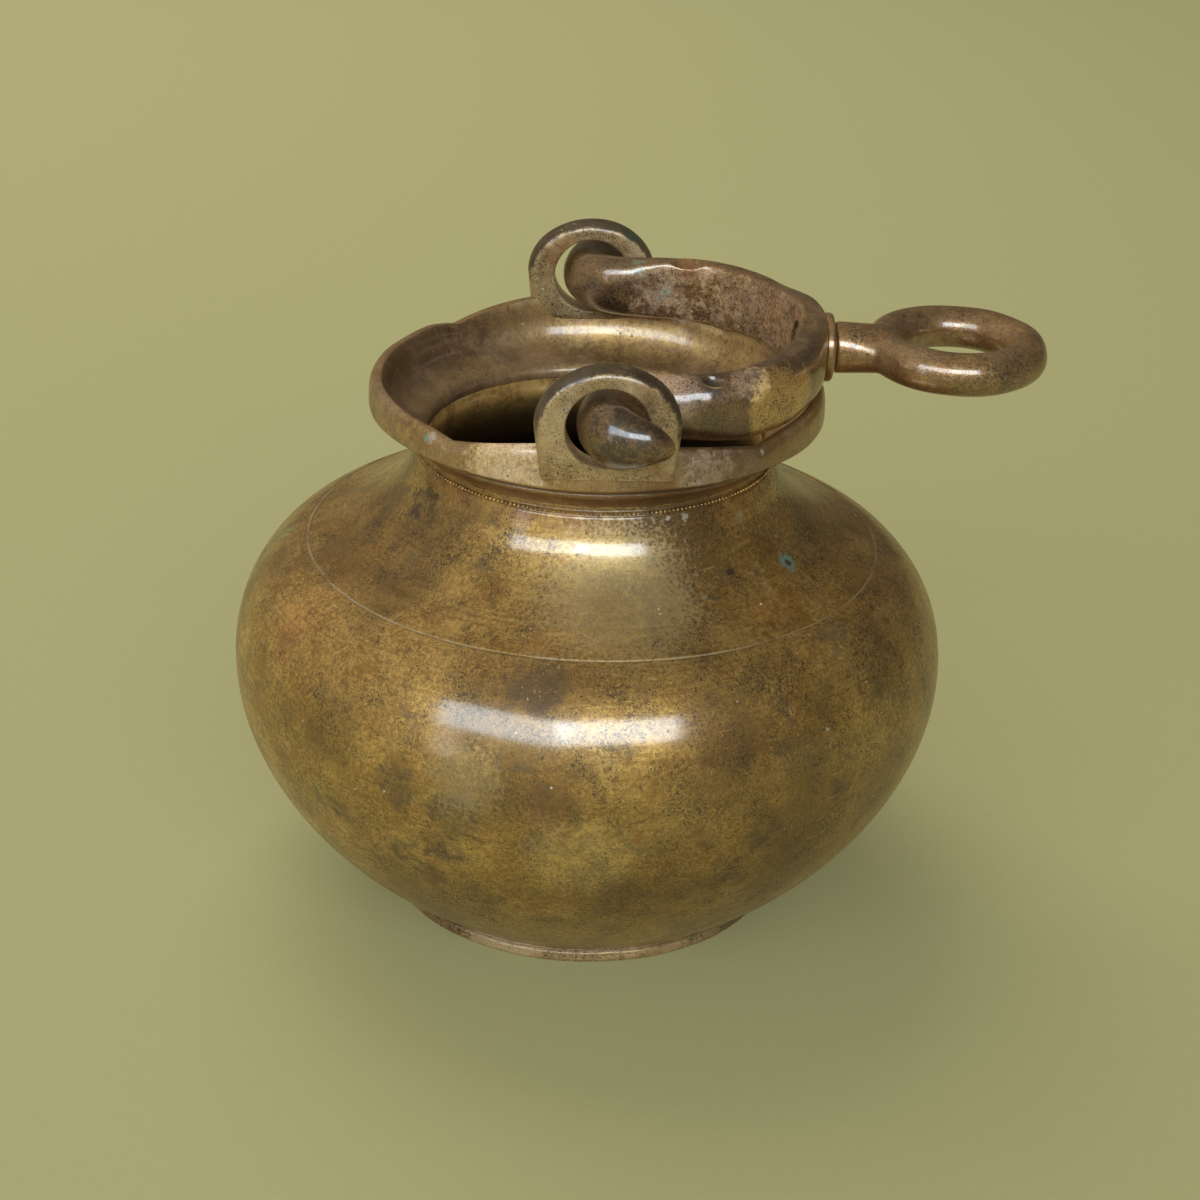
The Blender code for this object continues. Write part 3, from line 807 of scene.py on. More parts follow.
HANDLE_STAINS_AND_SHEEN = (
    TintPatch(Patina.VERDIGRIS, (9.5, 33.5, 127.8), 3.2, 0.70),
    TintPatch(Patina.VERDIGRIS, (14.8, 33.0, 122.0), 3.2, 0.50),
    TintPatch(Patina.SOOT, (3.0, -55.0, 123.0), 11.0, 0.80),
    TintPatch(Patina.GOLD, (33.4, -32.4, 121.9), 9.0, 1.30),
    TintPatch(Patina.GOLD, (38.4, -26.3, 121.8), 6.5, 1.20),
    TintPatch(Patina.SOOT, (20.5, -37.4, 127.4), 3.4, 1.00),
    # Painted sheen: dust lightens the near arm's top where a soft reflection lies.
    TintPatch(Patina.DUST, (12.0, -38.5, 128.0), 8.0, 1.15),
    TintPatch(Patina.DUST, (28.0, -36.0, 128.0), 6.0, 0.90),
    TintPatch(Patina.UMBER, (20.5, 33.4, 127.5), 3.2, 0.80),
    TintPatch(Patina.GOLD, (74.0, -14.0, 124.0), 9.0, 0.55),
    TintPatch(Patina.SMOKE, (44.0, 8.0, 129.0), 6.0, 0.70),
    TintPatch(Patina.UMBER, (40.0, 24.0, 120.0), 9.0, 0.60),
)


def stain(
    thing: bpy.types.Object, stains: Sequence[TintPatch], base: dict[Patina, np.ndarray] | None = None
) -> None:
    """Store where each kind of stain, painted sheen and painted shade lies on a piece.

    Args:
        thing: Piece that gets one set of vertex values for each kind.
        stains: Stains and patches of painted sheen by place.
        base: Values that a kind starts from, if any.
    """
    places = read_places(thing.data)
    start = base or {}
    for kind in Patina:
        values = np.asarray(start.get(kind, np.zeros(len(places))), float)
        for one in stains:
            if one.kind is kind:
                off = np.linalg.norm(places - np.array(one.centre), axis=1) / (STAIN_REACH * one.radius)
                values = np.maximum(values, one.strength * np.clip(STAIN_FALL * (1.0 - off), 0.0, 1.0))
        store(thing.data, kind.key, values)


class BrassPainter:
    """Builds the node material of one brass finish."""

    SHEEN_IOR = 1.5
    COAT_IOR = 2.4
    COAT_ROUGH = 0.15
    COAT_TINT = (1.0, 0.96, 0.86)
    RELIEF_DEPTH = 0.022
    TONE_MIDDLE = 0.503
    TONE_SPREAD = 0.083
    STAIN_FRAY = 4.6
    MOTTLE = Noise(2.6, 5.0, 0.72, 15.5, warp=0.3)
    HAZE = Noise(34.0, 3.0, 0.55, 3.1)
    FINE = Noise(0.85, 4.0, 0.70, 1.3)
    BLOTS = Noise(13.0, 6.0, 0.66, 7.7, warp=0.7)
    FILM = Noise(15.0, 4.0, 0.62, 12.4)
    FRAYED = Noise(4.2, 8.0, 0.80, 91.0, warp=0.3)
    CRUMBS = Noise(0.8, 3.0, 0.7, 77.0)
    RUBBED = Noise(4.0, 3.0, 0.6, 5.5)
    CROWD = Noise(8.0, 4.0, 0.65, 21.0)
    SEEDS = Noise(0.30, 2.0, 0.65, 4.4, warp=0.4)
    CLOTS = Noise(0.70, 3.0, 0.65, 6.6)
    SCORED = Noise(17.0, 2.0, 0.5, 51.0)
    BROKEN = Noise(12.0, 3.0, 0.6, 81.0)
    PITS = Dots(2.8, 8.8, 0.13, 0.48)
    PALE = Dots(5.2, 14.2, 0.060, 0.42)
    LEFT_CUTS = Dots(1.0, 31.0, 0.18, 0.34, (0.9, 0.9, 9.0), 0.5)
    RIGHT_CUTS = Dots(1.0, 37.0, 0.18, 0.30, (0.8, 0.8, 8.0), -0.65)
    LONG_CUTS = Dots(1.0, 43.0, 0.10, 0.30, (22.0, 22.0, 1.4), 0.06)
    NICKS = Dots(1.0, 47.0, 0.20, 0.30, (1.1, 1.1, 7.0), 0.3)

    def __init__(
        self, brass: Brass, spots: Sequence[Spot] = (), lines: Sequence[GlintLine] = ()
    ) -> None:
        """Keep the finish with its spots and the painted highlights of its turned lines, and start the
        patterns that layers share.

        Args:
            brass: Finish to build.
            spots: Small spots and patches of painted sheen by place.
            lines: Turned lines with a painted highlight along them.
        """
        self.brass = brass
        self.spots = spots
        self.lines = lines
        self.paint = Paint(brass.name)
        self.relief = self.paint.attribute("relief")
        self.inside = self.paint.attribute("inside")
        self.mottle = self.paint.cloud(self.MOTTLE)
        self.haze = self.paint.cloud(self.HAZE)
        self.fine = self.paint.cloud(self.FINE)

    def build(self) -> bpy.types.Material:
        """Lay metal, tarnish, stains, specks, wear, spots, painted sheen, painted shade and painted line
        highlights over each other.

        Returns:
            The finished material.
        """
        p, b = self.paint, self.brass
        marks = p.cloud(Noise(1.0, 3.0, 0.6, 61.0, b.marks.value))
        specks = self._specks()
        pits, pale = p.dots(self.PITS), p.dots(self.PALE)
        cuts, nicks = self._scratches()
        blot = p.cloud(self.BLOTS).step(0.585, 0.66) * b.blotchy
        film = p.cloud(self.FILM).step(0.44, 0.66) * b.dusty
        # Darkens concave corners and creases, by how far the surface lies in.
        crease_dark = self.relief.step(0.46, 0.30)
        wear = self.relief.step(0.57, 0.82) * p.cloud(self.RUBBED).step(0.38, 0.60) * b.rubbed
        colour, stained = self._tint_patches(self._tones(marks, film, blot), blot)
        colour = self._lay(colour, (
            (specks, b.speckle, b.dark), (pits, 0.9, b.dark), (crease_dark, 0.75, b.dark),
            (wear, 0.8, b.bright), (cuts, 0.75, b.bright), (nicks, 0.8, b.dark), (pale, 0.9, CHALK),
        ))
        # Painted shade: the inside value darkens the pot's inside, more further down.
        colour = self._lay(self._spots_sheen_and_glints(colour), ((self.inside, 0.82, b.dark),))
        dull = (specks * 0.15 + stained + crease_dark * 0.5 + film * 0.5 + pits * 0.6 + pale * 0.5).least(1.0)
        height = self.fine * 0.35 - specks * 0.5 - pits - cuts * 0.5 - nicks * 0.7 + marks * 0.4
        return p.finish(
            Base_Color=colour,
            Metallic=b.metal * (1.0 - dull),
            Roughness=b.rough + dull * 0.2 + self.fine * 0.1 - wear * 0.08 + self.inside * 0.15,
            Coat_Weight=b.coat * (1.0 - dull * 0.4) * (1.0 - nicks) * (1.0 - self.inside * 0.8),
            Normal=p.bump(height, self.RELIEF_DEPTH),
            IOR=self.SHEEN_IOR, Coat_IOR=self.COAT_IOR, Coat_Roughness=self.COAT_ROUGH,
            Coat_Tint=self.COAT_TINT,
        )

    def _lay(self, colour: object, layers: Sequence[tuple[Value, float, Colour]]) -> bpy.types.NodeSocket:
        """Blend colours over each other.

        Args:
            colour: Colour at the bottom.
            layers: Mask, strength and colour of each layer, from the bottom up.

        Returns:
            The blended colour.
        """
        for mask, strength, over in layers:
            colour = self.paint.blend(mask * strength, colour, over)
        return colour

    def _tones(self, marks: Value, film: Value, blot: Value) -> bpy.types.NodeSocket:
        """Mix the metal's own tones with its tarnish.

        Args:
            marks: Tool marks.
            film: Dusty film.
            blot: Grey blots.

        Returns:
            The colour of the bare surface.
        """
        p, b = self.paint, self.brass
        tone = p.cloud(Noise(b.patch, 5.0, 0.66, 9.1, warp=0.5))
        half = self.TONE_SPREAD / b.grain
        mixed = tone * 0.36 + self.fine * 0.38 + self.mottle * 0.26
        metal = p.blend(mixed.step(self.TONE_MIDDLE - half, self.TONE_MIDDLE + half), b.warm, b.bright)
        browned = (self.haze * 0.6 + tone * 0.4 + (b.tarnish - 0.5) * 0.5).step(0.46, 0.62)
        return self._lay(metal, (
            (browned, 0.8, b.brown), (self.mottle.step(0.49, 0.66), 0.65 * b.grain, b.brown),
            (marks.step(0.45, 0.75), 0.42, b.brown), (film, 1.0, b.dust), (blot, 0.7, b.grey),
        ))

    def _tint_patches(self, colour: object, blot: Value) -> tuple[object, Value]:
        """Lay the broad stains, painted sheen and painted shade that the piece's vertices hold.

        Args:
            colour: Colour under the stains.
            blot: Grey blots, which dull the metal too.

        Returns:
            The stained colour, and how far the metal is dulled.
        """
        p = self.paint
        ragged = p.cloud(self.FRAYED) * 0.5 + self.mottle * 0.3 + self.fine * 0.2
        stained = blot * 0.25
        for kind in Patina:
            share = p.attribute(kind.key)
            edge = share * 1.15 + (ragged - 0.5) * self.STAIN_FRAY - 0.46
            mask = edge.step(0.04, 0.60) * share.step(0.0, 0.3)
            if kind is Patina.GOLD:
                # Gold is laid as a bright colour, both for rubbed gold and for painted sheen.
                gold_and_sheen = tuple(c * f for c, f in zip(self.brass.bright, kind.value))
                colour = p.blend(mask * share.least(1.0), colour, gold_and_sheen)
            else:
                colour = p.blend(mask, colour, p.multiply(colour, kind.value))
                stained = stained.most(mask * 0.45)
        return colour, stained

    def _spots_sheen_and_glints(self, colour: object) -> object:
        """Lay the small spots, patches of painted sheen and the painted highlights along turned lines.

        Args:
            colour: Colour under them.

        Returns:
            The spotted colour.
        """
        p = self.paint
        crumbs = p.cloud(self.CRUMBS)
        for spot in self.spots:
            mask = p.near(spot.centre, spot.radius, crumbs) * spot.strength
            colour = p.blend(mask, colour, spot.colour)
        for line in self.lines:
            # Painted highlight along each turned line.
            colour = p.blend(self._glint_mask(line), colour, LINE_GLINT)
        return colour

    def _specks(self) -> Value:
        """Mask fine dark specks, dense in some patches and thin in others.

        Returns:
            1 on a speck.
        """
        p = self.paint
        crowd = p.cloud(self.CROWD) * 0.75 + self.haze * 0.25
        lean = (crowd - 0.5) * 0.55
        grains = (p.cloud(self.SEEDS) + lean).step(0.52, 0.64) * 0.85
        return grains.most((p.cloud(self.CLOTS) + lean).step(0.61, 0.68))

    def _scratches(self) -> tuple[Value, Value]:
        """Mask short cuts and nicks that lean different ways.

        Returns:
            The bright cuts and the dark nicks.
        """
        p = self.paint
        area = p.cloud(self.SCORED).step(0.40, 0.58) * self.brass.scored
        cuts = p.dots(self.LEFT_CUTS).most(p.dots(self.RIGHT_CUTS)).most(p.dots(self.LONG_CUTS))
        return cuts * area, p.dots(self.NICKS) * area

    def _glint_mask(self, line: GlintLine) -> Value:
        """Mask the painted highlight along a line, broken here and there and kept near a place.

        Args:
            line: Line to mask.

        Returns:
            The line's strength where it is seen.
        """
        p = self.paint
        off_r = p.reach() - line.radius
        off_z = p.z - line.height
        off = (off_r * off_r + off_z * off_z) ** 0.5
        broken = p.cloud(self.BROKEN).step(0.34, 0.60) * 0.75 + 0.25
        stroke = off.step(line.width, line.width * 0.45) * broken
        return stroke * p.near(line.centre, line.reach) * line.strength


class Lathe(NodeTree):
    """Geometry Nodes tree that turns a profile of points about Z."""

    SEGMENTS = "Segments"
    MATERIAL = "Material"

    def __init__(self) -> None:
        """Build the tree once; every turned piece uses it."""
        super().__init__(bpy.data.node_groups.new("turned_piece", "GeometryNodeTree"))
        face = self.tree.interface
        face.new_socket("Profile", in_out="INPUT", socket_type="NodeSocketGeometry")
        self.segments = face.new_socket(self.SEGMENTS, in_out="INPUT", socket_type="NodeSocketInt")
        self.metal = face.new_socket(self.MATERIAL, in_out="INPUT", socket_type="NodeSocketMaterial")
        face.new_socket("Piece", in_out="OUTPUT", socket_type="NodeSocketGeometry")
        self._wire()

    def _whole(self, operation: str, first: object, second: object) -> bpy.types.NodeSocket:
        """Add integer maths."""
        node = self.add("FunctionNodeIntegerMath", {"operation": operation}, {0: first, 1: second})
        return node.outputs[0]

    def _wire(self) -> None:
        """Lay a grid over profile and turn, and send each of its points to its place."""
        given = self.add("NodeGroupInput")
        profile = given.outputs["Profile"]
        segments = given.outputs[self.SEGMENTS]
        count = self.add("GeometryNodeAttributeDomainSize", {"component": "MESH"}, {0: profile})
        points = count.outputs["Point Count"]
        sheet = self.add(
            "GeometryNodeMeshGrid", {},
            {"Vertices X": self._whole("ADD", segments, 1), "Vertices Y": points},
        )
        index = self.add("GeometryNodeInputIndex").outputs[0]
        spot = self.add(
            "GeometryNodeSampleIndex", {"data_type": "FLOAT_VECTOR", "domain": "POINT"},
            {"Geometry": profile, "Value": self.add("GeometryNodeInputPosition").outputs[0],
             "Index": self._whole("MODULO", index, points)},
        )
        share = self.add(
            "ShaderNodeMath", {"operation": "DIVIDE"},
            {0: self._whole("DIVIDE_FLOOR", index, points), 1: segments},
        )
        turn = self.add("ShaderNodeMath", {"operation": "MULTIPLY"}, {0: share.outputs[0], 1: math.tau})
        swung = self.add(
            "ShaderNodeVectorRotate", {"rotation_type": "Z_AXIS"},
            {"Vector": spot.outputs[0], "Angle": turn.outputs[0]},
        )
        placed = self.add(
            "GeometryNodeSetPosition", {},
            {"Geometry": sheet.outputs["Mesh"], "Position": swung.outputs[0]},
        )
        closed = self.add(
            "GeometryNodeMergeByDistance", {}, {"Geometry": placed.outputs[0], "Distance": MERGE}
        )
        real = self.add("GeometryNodeRealizeInstances", {}, {0: closed.outputs[0]})
        dressed = self.add(
            "GeometryNodeSetMaterial", {},
            {"Geometry": real.outputs[0], "Material": given.outputs[self.MATERIAL]},
        )
        result = self.add("NodeGroupOutput")
        self.tree.links.new(dressed.outputs[0], result.inputs[0])

    def turn(
        self, name: str, profile: np.ndarray, segments: int, metal: bpy.types.Material
    ) -> bpy.types.Object:
        """Turn a closed profile into a plain mesh piece.

        Args:
            name: Piece name.
            profile: Points of (radius, height) in millimetres, round the section.
            segments: Number of facets round the axis.
            metal: Material of the piece.

        Returns:
            The new object, with the modifier gone.
        """
        ring = np.vstack((profile, profile[:1]))
        line = np.stack((ring[:, 0], np.zeros(len(ring)), ring[:, 1]), axis=1) * MM
        mesh = bpy.data.meshes.new(name + "_profile")
        mesh.from_pydata(line.tolist(), [(i, i + 1) for i in range(len(line) - 1)], [])
        thing = bpy.data.objects.new(name, mesh)
        bpy.context.scene.collection.objects.link(thing)
        settings = {self.segments.identifier: segments, self.metal.identifier: metal}
        return harden(thing, self.tree, settings)


def harden(thing: bpy.types.Object, tree: bpy.types.NodeTree, settings: dict) -> bpy.types.Object:
    """Run a Geometry Nodes tree on an object and keep its result as a plain mesh.

    Args:
        thing: Object that carries the tree's input geometry.
        tree: Geometry Nodes tree.
        settings: Input values by socket identifier.

    Returns:
        The same object with a plain mesh and no modifier.
    """
    step = thing.modifiers.new("Shape", "NODES")
    step.node_group = tree
    for key, value in settings.items():
        step[key] = value
    bake(thing)
    return thing


def bake(thing: bpy.types.Object) -> None:
    """Turn an object with modifiers into a plain mesh.

    Args:
        thing: Object whose modifiers are worked into its mesh.
    """
    bpy.context.view_layer.update()
    graph = bpy.context.evaluated_depsgraph_get()
    mesh = bpy.data.meshes.new_from_object(thing.evaluated_get(graph))
    thing.modifiers.clear()
    old = thing.data
    thing.data = mesh
    bpy.data.meshes.remove(old)
    mesh.name = thing.name
    mend(mesh)


class BeadTree(NodeTree):
    """Geometry Nodes tree that sets a ring of small worn beads round the neck."""

    SIDES = 8
    RINGS = 6
    SIZES = (0.72, 1.08)
    WEAR_SCALE = 38.0
    WEAR_SPAN = (0.30, 0.55)
    WORN_SIZE = 0.55

    def __init__(self) -> None:
        """Build the tree with named inputs for its sizes."""
        super().__init__(bpy.data.node_groups.new("bead_ring", "GeometryNodeTree"))
        face = self.tree.interface
        kinds = {"Radius": "Float", "Height": "Float", "Bead": "Float", "Count": "Int",
                 "Seed": "Int", "Material": "Material"}
        self.keys: dict[str, str] = {}
        for label, kind in kinds.items():
            socket = face.new_socket(label, in_out="INPUT", socket_type="NodeSocket" + kind)
            self.keys[label] = socket.identifier
        face.new_socket("Piece", in_out="OUTPUT", socket_type="NodeSocketGeometry")
        self._wire()

    def _wire(self) -> None:
        """Set beads on a circle, uneven in size and worn smaller in places."""
        given = self.add("NodeGroupInput").outputs
        ring = self.add(
            "GeometryNodeMeshCircle", {}, {"Vertices": given["Count"], "Radius": given["Radius"]}
        )
        bead = self.add(
            "GeometryNodeMeshUVSphere", {},
            {"Segments": self.SIDES, "Rings": self.RINGS, "Radius": given["Bead"]},
        )
        size = self.add(
            "FunctionNodeRandomValue", {"data_type": "FLOAT"},
            {2: self.SIZES[0], 3: self.SIZES[1], "Seed": given["Seed"]},
        )
        worn = self.add("ShaderNodeTexNoise", {}, {"Scale": self.WEAR_SCALE, "Detail": 1.0})
        fade = self.add(
            "ShaderNodeMapRange", {},
            {"Value": worn.outputs[0], "From Min": self.WEAR_SPAN[0], "From Max": self.WEAR_SPAN[1],
             "To Min": self.WORN_SIZE, "To Max": 1.0},
        )
        scale = self.add(
            "ShaderNodeMath", {"operation": "MULTIPLY"}, {0: size.outputs[1], 1: fade.outputs[0]}
        )
        row = self.add(
            "GeometryNodeInstanceOnPoints", {},
            {"Points": ring.outputs[0], "Instance": bead.outputs[0], "Scale": scale.outputs[0]},
        )
        height = self.add("ShaderNodeCombineXYZ", {}, {"Z": given["Height"]})
        lifted = self.add(
            "GeometryNodeTransform", {}, {"Geometry": row.outputs[0], "Translation": height.outputs[0]}
        )
        real = self.add("GeometryNodeRealizeInstances", {}, {0: lifted.outputs[0]})
        dressed = self.add(
            "GeometryNodeSetMaterial", {}, {"Geometry": real.outputs[0], "Material": given["Material"]}
        )
        result = self.add("NodeGroupOutput")
        self.tree.links.new(dressed.outputs[0], result.inputs[0])


@dataclass
class Vessel:
    """Turned body with its bead row, and the foot plate under it."""

    foot_r: float = 42.7
    foot_h: float = 3.0
    base_z: float = 3.3
    base_in: float = 0.3
    belly: Point = (75.0, 54.2)
    base_slope: float = 34.0
    base_pull: float = 20.5
    low_pull: float = 21.0
    high_pull: float = 13.4
    line: Point = (59.8, 79.8)
    line_slope: float = 20.2
    line_pull: float = 8.1
    line_width: float = 0.7
    line_depth: float = 0.2
    score_r: float = 52.3
    score_depth: float = 0.05
    score_width: float = 0.3
    neck: Point = (38.8, 95.2)
    neck_lean: float = 0.4
    neck_pull: float = 6.0
    shoulder_pull: float = 12.0
    band_r: float = 39.1
    band_z: float = 95.8
    bead: Point = (37.3, 100.3)
    bead_size: float = 0.44
    bead_pitch: float = 0.92
    bead_sink: float = 0.02
    bead_seed: int = 4
    neck_top: float = 101.5
    throat_r: float = 34.9
    wall: float = 3.0
    floor_t: float = 3.6
    # Painted shade with grime: height where the neck starts to darken under the rim, the height it darkens
    # over, and how strongly.
    under_rim_shade_z: float = 93.0
    under_rim_shade_fade: float = 5.0
    umber: float = 0.7
    segments: int = 256
    spans: tuple[int, int, int] = (90, 40, 60)
    swell: Dents = Dents(0.22, 46.0, 3.0)
    ripple: Dents = Dents(0.05, 17.0, 8.0)
    foot_fray: Dents = Dents(0.10, 5.0, 2.0)
    foot_chips: Dents = Dents(0.05, 1.6, 6.0)

    def outside(self) -> np.ndarray:
        """Draw the outline of the outside.

        Returns:
            Points of (radius, height) from the neck's top to the middle of the base.
        """
        slope, fall = math.radians(self.base_slope), math.radians(self.line_slope)
        line, neck, belly = np.array(self.line), np.array(self.neck), np.array(self.belly)
        base = np.array((self.foot_r - self.base_in, self.base_z))
        along = np.array((math.cos(fall), -math.sin(fall)))
        normal = np.array((math.sin(fall), math.cos(fall)))
        lean = np.array((self.neck_lean, -1.0))
        lean /= np.linalg.norm(lean)
        over, above, under = self.spans
        shoulder = bezier(neck, neck + lean * self.neck_pull, line - along * self.shoulder_pull, line, over)
        score = np.exp(-(((shoulder[:, 0] - self.score_r) / self.score_width) ** 2)) * self.score_depth
        shoulder = shoulder - normal[None, :] * score[:, None]
        half, cut = along * self.line_width / 2, normal * self.line_depth
        groove = np.array((line - half, line - half * 0.45 - cut * 0.75, line - cut,
                           line + half * 0.45 - cut * 0.75, line + half))
        upper = bezier(line, line + along * self.line_pull, belly + (0.0, self.high_pull), belly, above)
        start = base + np.array((math.cos(slope), math.sin(slope))) * self.base_pull
        lower = bezier(belly, belly - (0.0, self.low_pull), start, base, under)
        far = shoulder[:, 0] < line[0] - self.line_width / 2
        low = upper[:, 0] > line[0] + self.line_width / 2
        edge = np.array(((base[0] - 0.4, self.base_z - 0.15), (base[0] - 1.2, self.base_z - 0.2)))
        bottom = np.array(((0.0, self.base_z),))
        return np.vstack((
            self._collar(), shoulder[1:][far[1:]], groove, upper[low], lower[1:], edge, bottom,
        ))

    def _collar(self) -> np.ndarray:
        """Draw the neck from its top, past the seat of the beads.

        Returns:
            Rounded points of (radius, height) down to where the shoulder starts.
        """
        bead_r, bead_z = self.bead
        neck_r, neck_z = self.neck
        return round_off(np.array((
            (bead_r - 0.5, self.neck_top), (bead_r - 0.5, bead_z + 0.6), (bead_r - 0.35, bead_z + 0.5),
            (bead_r - 0.4, bead_z), (bead_r - 0.3, bead_z - 0.5), (bead_r - 0.15, bead_z - 0.65),
            (bead_r + 0.05, bead_z - 0.9), (bead_r + 0.45, bead_z - 2.2),
            (neck_r - 0.45, neck_z + 1.3), (neck_r - 0.24, neck_z + 0.6), (neck_r, neck_z),
        )), 2, False)

    def inside(self, outside: np.ndarray) -> np.ndarray:
        """Draw the outline of the inside, a wall's thickness within the outside.

        Args:
            outside: Outline of the outside.

        Returns:
            Points of (radius, height) from the middle of the floor to the neck's top.
        """
        keep = (outside[:, 0] > self.band_r + 2.0) & (outside[:, 1] > self.base_z + 6.0)
        wall = outside[keep][::5]
        lean = np.gradient(wall, axis=0)
        lean /= np.linalg.norm(lean, axis=1)[:, None]
        inner = wall + np.stack((lean[:, 1], -lean[:, 0]), axis=1) * self.wall
        floor = self.base_z + self.floor_t
        low = np.array(((0.0, floor), (self.foot_r * 0.5, floor + 0.1), (self.foot_r * 0.82, floor + 0.6)))
        high = np.array(((self.neck[0] - self.wall, self.neck[1] - 2.1), (self.throat_r, self.band_z),
                         (self.throat_r, self.neck_top)))
        return np.vstack((low, inner[::-1], high))

    def build_body(self, lathe: Lathe, metal: bpy.types.Material) -> bpy.types.Object:
        """Turn the body and leave it slightly uneven, as handwork is.

        Args:
            lathe: Tree that turns profiles.
            metal: Material of the piece.

        Returns:
            The body.
        """
        outside = self.outside()
        profile = np.vstack((outside, self.inside(outside)))
        body = lathe.turn("turned_body", profile, self.segments, metal)
        places, normals = read_places(body.data), read_normals(body.data)
        reach, height = np.hypot(places[:, 0], places[:, 1]), places[:, 2]
        share = np.clip((reach - self.band_r - 4.0) / 12.0, 0.0, 1.0)
        share *= np.clip((height - self.base_z) / 14.0, 0.0, 1.0)
        push = self.swell.push(places) + self.ripple.push(places)
        write_places(body.data, places + normals * (push * share)[:, None])
        skin_r = np.interp(height, outside[::-1, 1], outside[::-1, 0])
        within = (reach < skin_r - self.wall * 0.5) & (height > self.base_z + self.floor_t * 0.5)
        # Painted shade: the body's inside is marked to darken further down the neck and belly.
        store(body.data, "inside", within * np.clip((self.neck_top + 1.5 - height) / 9.0, 0.0, 1.0))
        # Painted shade with grime: the neck darkens upwards under the rim's overhang, laid as Patina.UMBER.
        neck = np.clip((height - self.under_rim_shade_z) / self.under_rim_shade_fade, 0.0, 1.0) * self.umber
        stain(body, BODY_STAINS_AND_SHEEN, {Patina.UMBER: neck})
        mark_relief(body)
        return body

    def build_beads(self, tree: BeadTree, metal: bpy.types.Material) -> bpy.types.Object:
        """Set the beads of the rouletted line under the rim.

        Args:
            tree: Tree that sets a ring of beads.
            metal: Material of the piece.

        Returns:
            The bead row.
        """
        radius, height = self.bead
        beads = bpy.data.objects.new("bead_row", bpy.data.meshes.new("bead_row"))
        bpy.context.scene.collection.objects.link(beads)
        values = {"Radius": (radius - self.bead_sink) * MM, "Height": height * MM,
                  "Bead": self.bead_size * MM, "Count": round(math.tau * radius / self.bead_pitch),
                  "Seed": self.bead_seed, "Material": metal}
        harden(beads, tree.tree, {tree.keys[label]: value for label, value in values.items()})
        mark_relief(beads, 1)
        return beads

    def build_foot(self, lathe: Lathe, metal: bpy.types.Material) -> bpy.types.Object:
        """Turn the foot plate and fray its lower edge.

        Args:
            lathe: Tree that turns profiles.
            metal: Material of the piece.

        Returns:
            The foot plate.
        """
        rim, top = self.foot_r, self.foot_h
        edge = round_off(np.array((
            (rim - 3.0, top), (rim - 0.8, top), (rim - 0.5, top - 0.1), (rim - 0.55, top - 0.5),
            (rim - 0.1, top - 0.75), (rim, top * 0.5), (rim + 0.05, 0.7), (rim - 0.15, 0.15),
            (rim - 0.6, 0.0), (rim - 3.0, 0.0),
        )), 2, False)
        middle = np.array(((0.0, 0.0), (0.0, top)))
        foot = lathe.turn("foot_band", np.vstack((edge, middle)), self.segments, metal)
        places = read_places(foot.data)
        reach = np.hypot(places[:, 0], places[:, 1])
        outer = np.clip((reach - rim + 2.0) / 2.0, 0.0, 1.0)
        push = self.foot_fray.push(places) + self.foot_chips.push(places)
        places[:, :2] *= (1.0 + push * outer / rim)[:, None]
        write_places(foot.data, places)
        mark_relief(foot)
        return foot


